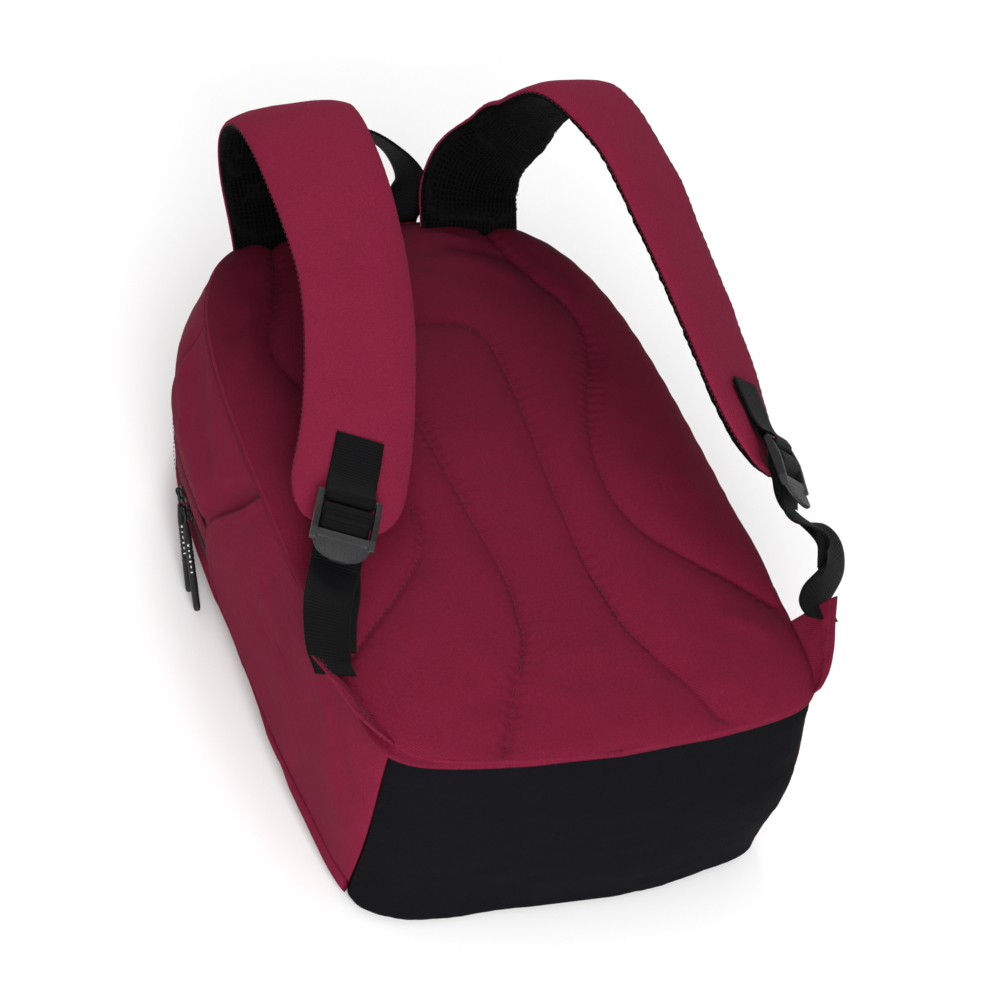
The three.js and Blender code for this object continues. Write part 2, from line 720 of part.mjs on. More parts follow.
// Triangular corner wing: a full reach at its top edge, tapering to nothing at the base corner.
function buildWing(side, word) {
  const wing = patch(4, 2, (u, v, w) => {
    const reach = wingReach * mix(0.06, 1, u) * v;
    const point = new THREE.Vector3(...wingPlace(side, u, reach));
    point.x -= side * Math.sin(wingTilt) * w * wingThickness * 0.5;
    point.z += Math.cos(wingTilt) * w * wingThickness;
    point.x += side * wingThickness * 0.5;
    return point;
  });
  addMesh("corner_wing_" + word, wing, burgundy);
}

function buildStrap(side, word) {
  const path = ribbonPath(strapKnots[word]);
  const half = (fraction) => strapHalfWidth(fraction, path.length);
  const steps = 26;
  const bottom = -strapThickness / 2;
  const foamLow = bottom + meshThickness + gap;
  const shellLow = foamLow + foamCore + gap;
  // The foam runs the other way, so that facing quads of neighbouring layers split along the same diagonal.
  const layers = [
    ["mesh", 0, bottom, bottom + meshThickness, blackCloth],
    ["foam", 1, foamLow, foamLow + foamCore, foamGrey],
    ["shell", 0, shellLow, shellLow + strapShell, burgundy],
  ];
  layers.forEach(([layer, from, low, high, finish]) => {
    addMesh("strap_" + layer + "_" + word, ribbon(path, from, 1 - from, steps, half, low, high), finish);
  });
  const lock = lockFrame(path);
  const lockMesh = inFrame(lockGeometry(), lock.centre, lock.across.clone().negate(), lock.along, lock.out);
  addMesh("ladder_lock_" + word, lockMesh, greyPlastic);
  const webHalf = () => webbingWidth / 2;
  const halfThick = webbingThickness / 2;
  const tab = ribbon(tabPath(path, lock), 0, 1, 36, webHalf, -halfThick, halfThick, 1);
  addMesh("strap_tab_" + word, tab, blackWeb);
  const top = wingPlace(side, 1, wingReach * 0.52);
  const wide = [Math.cos(wingTilt), 0, side * Math.sin(wingTilt)];
  const run = [
    { at: [top[0], top[1] + 1.6, top[2] + 1.6], wide },
    { at: [top[0] - side * 1, top[1] + 22, top[2] + 3], wide },
  ];
  const end = lock.place(48, -10.6);
  const tail = [{ at: end, wide: lock.across.toArray() }];
  const webbing = ribbonPath(webbingKnots(lock, side, run, tail));
  addMesh("adjuster_webbing_" + word, ribbon(webbing, 0, 1, 56, webHalf, -halfThick, halfThick, 1), blackWeb);
}

function buildHandle() {
  const rise = (part, forward) => [handleRootY + part * handleHeight * 0.72 + forward, backSeamZ - 4 + part * handleHeight * 0.7];
  const knot = (x, part, forward, wide) => ({ at: [x, ...rise(part, forward)], wide });
  const sideways = [1, 0, 0];
  const through = [0, -0.72, 0.7];
  const path = ribbonPath([
    knot(handleLegX, 0, 3, sideways),
    knot(handleLegX, 0.3, 1, [1, -0.1, 0.1]),
    knot(handleLegX - 4, 0.58, 0, [0.75, -0.5, 0.5]),
    knot(handleLegX - 14, 0.88, 0, [0.2, -0.7, 0.68]),
    knot(-8, 1, 0, through),
    knot(-handleLegX - 5, 0.84, 0, [-0.2, -0.7, 0.68]),
    knot(-handleLegX - 3, 0.54, 0, [-0.75, -0.5, 0.5]),
    knot(-handleLegX, 0.28, 1, [-1, -0.1, 0.1]),
    knot(-handleLegX, 0, 3, [-1, 0, 0]),
  ]);
  const half = handleThickness / 2;
  addMesh("grab_handle", ribbon(path, 0, 1, 40, () => handleWidth / 2, -half, half, 1), blackWeb);
}

buildSleeveAndBoard(buildBackPanel());
buildBase();
const zipStart = buildTopAndZip();
buildFront(zipStart);
buildFrontPocket();
buildMainSliders();
buildFrontSlider();
[[-1, "left"], [1, "right"]].forEach(([side, word]) => {
  buildSide(side, word);
  buildWing(side, word);
  buildStrap(side, word);
});
buildHandle();

export default bag;
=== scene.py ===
import math

import bpy
import numpy as np
from mathutils import Matrix, Vector


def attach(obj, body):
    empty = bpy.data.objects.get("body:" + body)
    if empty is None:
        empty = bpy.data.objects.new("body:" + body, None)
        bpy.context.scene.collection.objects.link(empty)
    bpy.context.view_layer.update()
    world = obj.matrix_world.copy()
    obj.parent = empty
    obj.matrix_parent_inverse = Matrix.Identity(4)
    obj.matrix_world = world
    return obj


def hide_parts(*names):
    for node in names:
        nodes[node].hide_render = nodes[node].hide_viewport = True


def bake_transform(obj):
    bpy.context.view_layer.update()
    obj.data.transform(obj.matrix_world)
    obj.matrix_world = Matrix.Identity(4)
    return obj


# Travel backpack lying on its front pocket. Shapes are worked out in millimetres, with y counted from
# the base corners; toFrame turns them into the frame's metres.

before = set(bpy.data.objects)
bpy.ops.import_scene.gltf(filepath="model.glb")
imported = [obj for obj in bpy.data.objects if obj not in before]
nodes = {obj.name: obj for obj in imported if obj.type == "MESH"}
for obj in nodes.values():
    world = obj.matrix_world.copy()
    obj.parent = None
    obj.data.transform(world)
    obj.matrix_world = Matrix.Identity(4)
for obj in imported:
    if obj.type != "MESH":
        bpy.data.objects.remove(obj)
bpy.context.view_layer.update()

bagShape = {
    "halfWidth": 150.0, "height": 430.0, "widestY": 150.0, "baseNarrowing": 11.5, "rightNarrowing": 3.5,
    "leftBulge": 9.0,
    "topPower": 4.2, "cornerPower": 12.0, "baseBow": 16.0,
    "backSeam": 140.0, "frontZ": 9.0, "frontRadius": 40.0, "sideRadius": 17.0, "baseRadius": 7.0,
    "baseDrop": 8.4, "basePush": 12.0,
    "sideBulge": 3.0, "baseBulge": 7.0, "restCentre": 172.0,
}


def toFrame(points):
    p = np.asarray(points, float)
    return (p - np.array([0, bagShape["restCentre"], 0])) / 1000


def mix(a, b, t):
    return a + (b - a) * t


def smooth(t):
    t = np.clip(t, 0, 1)
    return t * t * (3 - 2 * t)


def unit(v):
    v = np.asarray(v, float)
    return v / np.maximum(np.linalg.norm(v, axis=-1, keepdims=True), 1e-12)


def ripple(points, size, seed, octaves=3):
    # smooth seeded noise, roughly -1 to 1, with features of the given size
    rng = np.random.default_rng(seed)
    p = np.asarray(points, float)
    total, weight = 0, 0
    for octave in range(octaves):
        level = 0.55 ** octave
        for _ in range(5):
            way = unit(rng.normal(size=p.shape[-1]))
            turn = rng.uniform(0, 2 * math.pi)
            total = total + level * np.sin(p @ way * 2 * math.pi * 2 ** octave / size + turn)
        weight += level * 1.6
    return total / weight


# The bag's outline and wall

def outline(angle, inset=0.0, puff=0.0):
    b = bagShape
    c, s = np.cos(angle), np.sin(angle)
    top = s > 0
    power = 2 / np.where(top, b["topPower"], b["cornerPower"])
    across = np.sign(c) * np.abs(c) ** power
    along = np.sign(s) * np.abs(s) ** power
    reach = np.where(top, b["height"] - b["widestY"], b["widestY"]) - inset
    reach = reach + puff * np.where(top, b["sideBulge"], b["baseBulge"])
    low = np.maximum(0, -along)
    narrow = 1 - np.where(c > 0, b["rightNarrowing"], b["baseNarrowing"]) / b["halfWidth"] * low * low
    bulge = b["sideBulge"] + b["leftBulge"] * (c < 0) * np.exp(-((along * 280 - 150) / 110) ** 2)
    x = across * (b["halfWidth"] - inset + puff * bulge) * narrow
    y = b["widestY"] + along * reach - b["baseBow"] * low * low * (1 - across * across)
    return x, y


seamAngles = np.linspace(-math.pi / 2, 1.5 * math.pi, 1441)
seamX, seamY = outline(seamAngles)
seamTable = np.concatenate([[0], np.cumsum(np.hypot(np.diff(seamX), np.diff(seamY)))])
seamLength = seamTable[-1]
cornerDistance = seamTable[180]
topCorner = seamTable[540]


def seamAngle(distance):
    return np.interp(np.mod(distance, seamLength), seamTable, seamAngles)


def seamAtHeight(y):
    rising = slice(180, 720)
    return np.interp(y, seamY[rising], seamTable[rising])


def onSide(side, distance):
    return distance if side > 0 else seamLength - distance


def radiusAt(distance):
    # the wall turns into the front tightly at the base and generously higher up
    b = bagShape
    y = outline(seamAngle(distance))[1]
    side = mix(b["baseRadius"], b["sideRadius"], smooth((y - 40) / 150))
    return mix(side, b["frontRadius"], smooth((y - 320) / 90))


def lengthAt(distance):
    r = radiusAt(distance)
    return bagShape["backSeam"] - bagShape["frontZ"] - r + math.pi / 2 * r


def settle(p):
    # the lower end sinks past the pocket towards the floor, and its front bows out
    b = bagShape
    front = 1 - p[..., 2] / b["backSeam"]
    drop = b["baseDrop"] * smooth((62 - p[..., 1]) / 62) * front ** 2
    bow = b["basePush"] * smooth((45 - p[..., 1]) / 60) * smooth(front * 1.1)
    return p - np.stack([drop * 0, bow, drop], -1)


def wall(distance, down, depth=0.0):
    b = bagShape
    distance, down, depth = np.broadcast_arrays(*[np.asarray(v, float) for v in (distance, down, depth)])
    angle = seamAngle(distance)
    outer = radiusAt(distance)
    straightWall = b["backSeam"] - b["frontZ"] - outer
    straight = down < straightWall
    turn = np.clip((down - straightWall) / outer, 0, math.pi / 2)
    under = np.maximum(0, down - straightWall - outer * math.pi / 2)
    radius = outer - depth
    inset = np.where(straight, depth, outer + under - radius * np.cos(turn))
    belly = np.sin(math.pi * np.clip(down, 0, straightWall) / straightWall)
    puff = np.where(straight, np.clip(belly, 0, 1) ** 1.7, 0)
    x, y = outline(angle, inset, puff)
    low = b["frontZ"] + outer - radius * np.sin(turn)
    return settle(np.stack([x, y, np.where(straight, b["backSeam"] - down, low)], -1))


# Mesh making

pieces = {}


def makePiece(name, points, faces, cloth=None, material=None, shade=True):
    mesh = bpy.data.meshes.new(name)
    mesh.from_pydata([tuple(p) for p in toFrame(points)], [], [tuple(f) for f in faces])
    if cloth is not None:
        layer = mesh.attributes.new("clothCoord", "FLOAT_VECTOR", "POINT")
        layer.data.foreach_set("vector", (np.asarray(cloth, float) / 1000).astype(np.float32).ravel())
    mesh.validate()
    if shade:
        mesh.polygons.foreach_set("use_smooth", [True] * len(mesh.polygons))
    obj = bpy.data.objects.new(name, mesh)
    bpy.context.scene.collection.objects.link(obj)
    if material:
        mesh.materials.append(material)
    pieces[name] = obj
    return obj


def gridFaces(rows, columns, wrap=False, offset=0, flip=False):
    i, j = np.meshgrid(np.arange(rows - 1), np.arange(columns if wrap else columns - 1), indexing="ij")
    j2 = (j + 1) % columns
    quads = np.stack([i * columns + j, i * columns + j2, (i + 1) * columns + j2, (i + 1) * columns + j], -1)
    quads = quads.reshape(-1, 4) + offset
    return quads[:, ::-1] if flip else quads


def gridNormals(grid):
    down = np.gradient(grid, axis=0)
    across = np.gradient(grid, axis=1)
    return unit(np.cross(across, down))


def gridCloth(grid):
    rows = np.linalg.norm(np.diff(grid, axis=0), axis=-1).mean(1)
    columns = np.linalg.norm(np.diff(grid, axis=1), axis=-1).mean(0)
    v = np.concatenate([[0], np.cumsum(rows)])
    u = np.concatenate([[0], np.cumsum(columns)])
    uu, vv = np.meshgrid(u, v)
    return np.stack([uu, vv, np.zeros_like(uu)], -1)


def sheetPiece(name, grid, thickness, material, inward=None, cloth=None):
    # a grid of surface points thickened inwards into a closed sheet
    rows, columns = grid.shape[:2]
    normal = gridNormals(grid) if inward is None else inward
    cloth = gridCloth(grid) if cloth is None else cloth
    inner = grid - normal * thickness
    count = rows * columns
    faces = [gridFaces(rows, columns), gridFaces(rows, columns, offset=count, flip=True)]
    edge = list(range(columns)) + [r * columns + columns - 1 for r in range(1, rows)]
    edge += [(rows - 1) * columns + c for c in range(columns - 2, -1, -1)]
    edge += [r * columns for r in range(rows - 2, 0, -1)]
    edge = np.array(edge)
    after = np.roll(edge, -1)
    faces.append(np.stack([after, edge, edge + count, after + count], -1))
    points = np.concatenate([grid.reshape(-1, 3), inner.reshape(-1, 3)])
    coords = np.concatenate([cloth.reshape(-1, 3)] * 2)
    return makePiece(name, points, np.concatenate(faces), coords, material)


def tubePiece(name, rings, material, cloth=None):
    # rings of points (rows, around, 3) skinned into a closed tube with capped ends
    rows, around = rings.shape[:2]
    cloth = gridCloth(rings) if cloth is None else cloth
    points = rings.reshape(-1, 3)
    caps = np.stack([rings[0].mean(0), rings[-1].mean(0)])
    coords = np.concatenate([cloth.reshape(-1, 3), cloth[0].mean(0)[None], cloth[-1].mean(0)[None]])
    faces = [tuple(f) for f in gridFaces(rows, around, wrap=True)]
    first, last = rows * around, rows * around + 1
    for j in range(around):
        k = (j + 1) % around
        faces.append((k, j, first))
        faces.append(((rows - 1) * around + j, (rows - 1) * around + k, last))
    return makePiece(name, np.concatenate([points, caps]), faces, coords, material)


def scatterPiece(name, places, shape, material):
    # copies of one small closed shape (points, faces) at places: (origin, x, y, z) in bag millimetres
    base, faces = shape
    points, allFaces = [], []
    for origin, x, y, z in places:
        allFaces += [tuple(len(points) * len(base) + i for i in f) for f in faces]
        points.append(np.asarray(origin) + base[:, :1] * x + base[:, 1:2] * y + base[:, 2:3] * z)
    points = np.concatenate(points)
    return makePiece(name, points, allFaces, points, material)


def grain(length, width, height, sides=6):
    # a small rounded grain along x: one stitch, tooth or dot
    rings = [(-0.5, 0.0), (-0.34, 0.8), (0.0, 1.0), (0.34, 0.8), (0.5, 0.0)]
    points, faces = [], []
    for at, size in rings:
        if size == 0:
            points.append((at * length, 0, 0))
            continue
        for k in range(sides):
            a = 2 * math.pi * k / sides
            points.append((at * length, size * width / 2 * math.cos(a), size * height / 2 * math.sin(a)))
    for k in range(sides):
        n = (k + 1) % sides
        faces.append((0, 1 + n, 1 + k))
        for r in (0, 1):
            a, b = 1 + r * sides, 1 + (r + 1) * sides
            faces.append((a + k, a + n, b + n, b + k))
        faces.append((1 + 2 * sides + k, 1 + 2 * sides + n, 1 + 3 * sides))
    return np.array(points, float), faces


def lengthAlong(points):
    return np.concatenate([[0], np.cumsum(np.linalg.norm(np.diff(points, axis=0), axis=1))])


def resample(points, step):
    run = lengthAlong(points)
    count = max(2, int(round(run[-1] / step)) + 1)
    at = np.linspace(0, run[-1], count)
    return np.stack([np.interp(at, run, points[:, k]) for k in range(points.shape[1])], -1)


def stitchPlaces(line, normals, spacing):
    # one place per stitch along a line with surface normals
    both = resample(np.hstack([line, normals]), spacing)
    at, up = both[:, :3], unit(both[:, 3:])
    along = unit(np.gradient(at, axis=0))
    side = unit(np.cross(up, along))
    return [(at[i], along[i], side[i], up[i]) for i in range(1, len(at) - 1)]


def cordRings(line, radius, sides=8, squeeze=1.0, up=None):
    along = unit(np.gradient(line, axis=0))
    up = np.array([0.0, 0, 1]) if up is None else up
    side = unit(np.cross(along, up + along * 1e-3))
    top = unit(np.cross(side, along))
    turn = np.linspace(0, 2 * math.pi, sides, endpoint=False)
    radius = np.broadcast_to(np.asarray(radius, float), (len(line),))[:, None, None]
    return line[:, None] + radius * (np.cos(turn)[None, :, None] * side[:, None]
                                     + squeeze * np.sin(turn)[None, :, None] * top[:, None])


def catmull(knots, t):
    # centripetal Catmull-Rom through the knots at parameters t from 0 to 1
    k = np.asarray(knots, float)
    k = np.vstack([2 * k[0] - k[1], k, 2 * k[-1] - k[-2]])
    p = np.clip(t, 0, 1) * (len(knots) - 1)
    i = np.minimum(p.astype(int), len(knots) - 2)
    w = (p - i)[:, None]
    a, b, c, d = k[i], k[i + 1], k[i + 2], k[i + 3]
    gap = lambda m, n: np.sqrt(np.linalg.norm(n - m, axis=1))[:, None]
    d1 = gap(b, c)
    d1 = np.where(d1 < 1e-4, 1, d1)
    d0, d2 = gap(a, b), gap(c, d)
    d0, d2 = np.where(d0 < 1e-4, d1, d0), np.where(d2 < 1e-4, d1, d2)
    m1 = ((b - a) / d0 - (c - a) / (d0 + d1) + (c - b) / d1) * d1
    m2 = ((c - b) / d1 - (d - b) / (d1 + d2) + (d - c) / d2) * d1
    return b + w * (m1 + w * (-3 * b + 3 * c - 2 * m1 - m2 + w * (2 * b - 2 * c + m1 + m2)))


def ribbonPath(knots, step=2.0):
    # samples a ribbon's centre line: its points, directions along, across and outwards, and length
    at = np.array([k[0] for k in knots], float)
    wide = np.array([k[1] for k in knots], float)
    t = np.linspace(0, 1, 600)
    both = np.hstack([catmull(at, t), catmull(wide, t)])
    run = lengthAlong(both[:, :3])
    count = max(3, int(round(run[-1] / step)) + 1)
    stops = np.linspace(0, run[-1], count)
    both = np.stack([np.interp(stops, run, both[:, k]) for k in range(6)], -1)
    points = both[:, :3]
    along = unit(np.gradient(points, axis=0))
    across = both[:, 3:]
    across = unit(across - along * (across * along).sum(1, keepdims=True))
    return {"points": points, "along": along, "across": across, "out": np.cross(along, across),
            "run": stops, "length": run[-1]}


def pathAt(path, run):
    row = [np.stack([np.interp(run, path["run"], path[key][:, k]) for k in range(3)], -1)
           for key in ("points", "along", "across", "out")]
    return row[0], unit(row[1]), unit(row[2]), unit(row[3])


# Materials

finishes = {
    "burgundy": {"lit": (0.184, 0.0120, 0.0375), "deep": (0.082, 0.0036, 0.0128), "period": 1.25,
                 "bump": 0.35,
                 "rough": 0.84, "sheen": 0.0, "tint": (0.75, 0.2, 0.3), "gloss": 0.06},
    "blackTwill": {"lit": (0.0050, 0.0050, 0.0066), "deep": (0.0028, 0.0028, 0.004), "period": 1.25,
                   "bump": 0.35,
                   "rough": 0.82, "sheen": 0.0, "tint": (0.5, 0.5, 0.55), "gloss": 0.035},
    "lining": {"lit": (0.013, 0.013, 0.015), "deep": (0.008, 0.008, 0.009), "period": 0.6, "bump": 0.15,
               "rough": 0.7, "sheen": 0.1, "tint": (0.5, 0.5, 0.5)},
    "webbing": {"lit": (0.0040, 0.0040, 0.0048), "deep": (0.0014, 0.0014, 0.0018), "period": 1.0, "bump": 0.3,
                "rough": 0.62, "sheen": 0.02, "tint": (0.6, 0.6, 0.65)},
}


def newMaterial(name):
    material = bpy.data.materials.new(name)
    material.use_nodes = True
    tree = material.node_tree
    shader = next(n for n in tree.nodes if n.type == "BSDF_PRINCIPLED")
    return material, tree, shader


def node(tree, kind, inputs=None, **settings):
    made = tree.nodes.new(kind)
    for key, value in settings.items():
        setattr(made, key, value)
    for key, value in (inputs or {}).items():
        made.inputs[key].default_value = value
    return made


def clothVector(tree):
    return node(tree, "ShaderNodeAttribute", attribute_name="clothCoord").outputs["Vector"]


def mixColor(tree, factor, first, second, blend="MIX"):
    m = node(tree, "ShaderNodeMix", data_type="RGBA", blend_type=blend)
    sockets = {s.identifier: s for s in m.inputs}
    for key, value in (("Factor_Float", factor), ("A_Color", first), ("B_Color", second)):
        if isinstance(value, bpy.types.NodeSocket):
            tree.links.new(value, sockets[key])
        else:
            sockets[key].default_value = value if key == "Factor_Float" else (*value, 1)
    return next(s for s in m.outputs if s.identifier == "Result_Color")


def mathNode(tree, operation, a, b=0.0):
    m = node(tree, "ShaderNodeMath", operation=operation)
    for socket, value in zip(m.inputs, (a, b)):
        if isinstance(value, bpy.types.NodeSocket):
            tree.links.new(value, socket)
        else:
            socket.default_value = value
    return m.outputs[0]


def noiseNode(tree, vector, scale, detail=3.0, rough=0.55):
    n = node(tree, "ShaderNodeTexNoise", {"Scale": scale, "Detail": detail, "Roughness": rough})
    tree.links.new(vector, n.inputs["Vector"])
    return n.outputs["Factor"] if "Factor" in n.outputs else n.outputs["Fac"]


def clothMaterial(name, key, weave="twill"):
    # woven cloth: yarn lines at their real pitch, yarn to yarn colour, slow shade changes and fuzz sheen
    f = finishes[key]
    material, tree, shader = newMaterial(name)
    vector = clothVector(tree)
    pitch = f["period"] / 1000
    lines = node(tree, "ShaderNodeTexWave",
                 {"Scale": 2 * math.pi / (10 * pitch * math.sqrt(2)), "Distortion": 0.0},
                 wave_type="BANDS", bands_direction="DIAGONAL" if weave == "twill" else "X")
    tree.links.new(vector, lines.inputs["Vector"])
    cross = node(tree, "ShaderNodeTexWave", {"Scale": 2 * math.pi / (20 * pitch * 0.6)},
                 wave_type="BANDS", bands_direction="Y")
    tree.links.new(vector, cross.inputs["Vector"])
    yarn = noiseNode(tree, vector, 620.0, 3.0, 0.65)
    weaveHeight = mathNode(tree, "ADD", mathNode(tree, "MULTIPLY", lines.outputs["Fac"], 0.7),
                           mathNode(tree, "MULTIPLY", cross.outputs["Fac"], 0.3))
    height = mathNode(tree, "ADD", weaveHeight, mathNode(tree, "MULTIPLY", yarn, 0.6))
    slow = noiseNode(tree, vector, 9.0, 4.0, 0.6)
    blotch = noiseNode(tree, vector, 60.0, 5.0, 0.7)
    shadeMix = mathNode(tree, "ADD", mathNode(tree, "MULTIPLY", weaveHeight, 0.5),
                        mathNode(tree, "ADD", mathNode(tree, "MULTIPLY", yarn, 1.0),
                                 mathNode(tree, "MULTIPLY", blotch, 0.4)))
    shadeMix = mathNode(tree, "SUBTRACT", shadeMix, 0.48)
    colour = mixColor(tree, shadeMix, f["deep"], f["lit"])
    soft = tuple(min(1.0, c * 1.18) for c in f["lit"])
    colour = mixColor(tree, mathNode(tree, "MULTIPLY", slow, 0.35), colour, soft)
    if "fade" in f:
        # stands in for the light falling off towards the top; the real cloth is one colour
        where = node(tree, "ShaderNodeNewGeometry", {})
        split = node(tree, "ShaderNodeSeparateXYZ", {})
        tree.links.new(where.outputs["Position"], split.inputs[0])
        high = node(tree, "ShaderNodeMapRange",
                    {"From Min": 0.0, "From Max": 0.24, "To Min": 0.0, "To Max": f["fade"]})
        tree.links.new(split.outputs["Y"], high.inputs["Value"])
        # painted shade: the colour the panel darkens to at its top
        paintedTopShade = tuple(c * 0.3 for c in f["lit"])
        colour = mixColor(tree, high.outputs["Result"], colour, paintedTopShade)
    tree.links.new(colour, shader.inputs["Base Color"])
    rough = mathNode(tree, "ADD", mathNode(tree, "MULTIPLY", blotch, 0.12), f["rough"] - 0.06)
    tree.links.new(rough, shader.inputs["Roughness"])
    bump = node(tree, "ShaderNodeBump", {"Strength": f["bump"], "Distance": 0.0004})
    tree.links.new(height, bump.inputs["Height"])
    tree.links.new(bump.outputs["Normal"], shader.inputs["Normal"])
    shader.inputs["Sheen Weight"].default_value = f["sheen"]
    shader.inputs["Sheen Roughness"].default_value = 0.45
    shader.inputs["Sheen Tint"].default_value = (*f["tint"], 1)
    shader.inputs["Specular IOR Level"].default_value = f.get("gloss", 0.06)
    return material


def webbingMaterial(name):
    # ribs are in the mesh; the material adds each rib's yarns and a soft nylon shine
    f = finishes["webbing"]
    material, tree, shader = newMaterial(name)
    vector = clothVector(tree)
    yarns = node(tree, "ShaderNodeTexWave",
                 {"Scale": 2 * math.pi / (20 * 0.0009), "Distortion": 1.5, "Detail": 1.0},
                 wave_type="BANDS", bands_direction="X")
    tree.links.new(vector, yarns.inputs["Vector"])
    fuzz = noiseNode(tree, vector, 900.0, 3.0, 0.6)
    height = mathNode(tree, "ADD", yarns.outputs["Fac"], mathNode(tree, "MULTIPLY", fuzz, 0.8))
    tree.links.new(mixColor(tree, mathNode(tree, "MULTIPLY", height, 0.55), f["deep"], f["lit"]),
                   shader.inputs["Base Color"])
    tree.links.new(mathNode(tree, "ADD", mathNode(tree, "MULTIPLY", fuzz, 0.2), 0.5),
                   shader.inputs["Roughness"])
    bump = node(tree, "ShaderNodeBump", {"Strength": 0.35, "Distance": 0.0004})
    tree.links.new(height, bump.inputs["Height"])
    tree.links.new(bump.outputs["Normal"], shader.inputs["Normal"])
    shader.inputs["Specular IOR Level"].default_value = 0.07
    shader.inputs["Sheen Weight"].default_value = f["sheen"]
    shader.inputs["Sheen Roughness"].default_value = 0.5
    shader.inputs["Sheen Tint"].default_value = (*f["tint"], 1)
    return material


def meshMaterial(name):
    # air mesh: a raised honeycomb of yarn around open cells; the cells are painted darker than the yarn,
    # painted shade in their hollows
    material, tree, shader = newMaterial(name)
    vector = clothVector(tree)
    cells = node(tree, "ShaderNodeTexVoronoi", {"Scale": 330.0, "Randomness": 0.25},
                 feature="DISTANCE_TO_EDGE")
    tree.links.new(vector, cells.inputs["Vector"])
    wall = mathNode(tree, "SUBTRACT", 1.0, mathNode(tree, "MULTIPLY", cells.outputs["Distance"], 3.2))
    fuzz = noiseNode(tree, vector, 1500.0, 3.0, 0.65)
    height = mathNode(tree, "ADD", wall, mathNode(tree, "MULTIPLY", fuzz, 0.4))
    tree.links.new(mixColor(tree, wall, (0.0006, 0.0006, 0.0008), (0.0038, 0.0038, 0.0044)),
                   shader.inputs["Base Color"])
    bump = node(tree, "ShaderNodeBump", {"Strength": 0.85, "Distance": 0.0011})
    tree.links.new(height, bump.inputs["Height"])
    tree.links.new(bump.outputs["Normal"], shader.inputs["Normal"])
    shader.inputs["Roughness"].default_value = 0.8
    shader.inputs["Specular IOR Level"].default_value = 0.05
    shader.inputs["Sheen Weight"].default_value = 0.0
    shader.inputs["Sheen Roughness"].default_value = 0.5
    shader.inputs["Sheen Tint"].default_value = (0.55, 0.55, 0.6, 1)
    return material


def hardMaterial(name, color, rough, metallic=0.0, grainScale=700.0, bumpDepth=0.00012, clear=0.0):
    # moulded plastic or coated metal: fine grain, worn lighter spots, uneven gloss
    material, tree, shader = newMaterial(name)
    place = node(tree, "ShaderNodeTexCoord").outputs["Object"]
    fine = noiseNode(tree, place, grainScale, 3.0, 0.6)
    wear = noiseNode(tree, place, 120.0, 4.0, 0.7)
    lighter = tuple(min(1.0, c * 1.7 + 0.004) for c in color)
    tree.links.new(mixColor(tree, mathNode(tree, "MULTIPLY", wear, 0.6), color, lighter),
                   shader.inputs["Base Color"])
    tree.links.new(mathNode(tree, "ADD", mathNode(tree, "MULTIPLY", fine, 0.22), rough - 0.1),
                   shader.inputs["Roughness"])
    bump = node(tree, "ShaderNodeBump", {"Strength": 0.5, "Distance": bumpDepth})
    tree.links.new(fine, bump.inputs["Height"])
    tree.links.new(bump.outputs["Normal"], shader.inputs["Normal"])
    shader.inputs["Metallic"].default_value = metallic
    shader.inputs["Specular IOR Level"].default_value = 0.3
    shader.inputs["Coat Weight"].default_value = clear
    return material


# painted shade: the back panel's copy of the burgundy cloth is darker, and its fade value darkens it further
# towards the top; the real panel is the same cloth as the rest
finishes["panel"] = dict(finishes["burgundy"], lit=(0.168, 0.0102, 0.0325), deep=(0.072, 0.003, 0.011),
                         fade=0.62)
# painted light: the straps get a lighter copy of the burgundy cloth, standing in for the light falling on
# them; the real straps are the same cloth as the rest
finishes["strap"] = dict(finishes["burgundy"], lit=(0.222, 0.0150, 0.0450), deep=(0.104, 0.0052, 0.0175))
burgundyTwill = clothMaterial("burgundyTwill", "burgundy")
burgundyPanelPaintedShade = clothMaterial("burgundyPanelPaintedShade", "panel")
burgundyStrapPaintedLight = clothMaterial("burgundyStrapPaintedLight", "strap")
blackTwill = clothMaterial("blackTwill", "blackTwill")
blackLining = clothMaterial("blackLining", "lining", weave="plain")
blackWebbing = webbingMaterial("blackWebbing")
airMesh = meshMaterial("airMesh")
burgundyThread = hardMaterial("burgundyThread", (0.075, 0.004, 0.014), 0.6, grainScale=2500.0)
# painted shadow: a near-black burgundy for the dark lines laid along seams and quilting grooves, where there
# is only shade
paintedSeamShadow = hardMaterial("paintedSeamShadow", (0.022, 0.0012, 0.0036), 0.9)
blackThread = hardMaterial("blackThread", (0.006, 0.006, 0.007), 0.6, grainScale=2500.0)
buckleLip = hardMaterial("buckleLip", (0.017, 0.017, 0.0185), 0.5, bumpDepth=0.0002)
buckleAcetal = hardMaterial("buckleAcetal", (0.006, 0.006, 0.0068), 0.48, bumpDepth=0.0002)
blackSliderMetal = hardMaterial("blackSliderMetal", (0.012, 0.012, 0.014), 0.38, metallic=0.6)
zipNylon = hardMaterial("zipNylon", (0.008, 0.008, 0.009), 0.45)
pullTube = hardMaterial("pullTube", (0.007, 0.007, 0.008), 0.5)
paleMark = hardMaterial("paleMark", (0.62, 0.62, 0.62), 0.6)
stiffBoard = hardMaterial("stiffBoard", (0.05, 0.05, 0.05), 0.6)
print("materials made")

inner = {"back_panel_lining": blackLining, "laptop_sleeve": blackLining,
         "base_board": stiffBoard}
for nodeName, material in inner.items():
    nodes[nodeName].data.materials.clear()
    nodes[nodeName].data.materials.append(material)


# Back panel: one quilted, crowned cloth, sewn along an arch and two outer curves

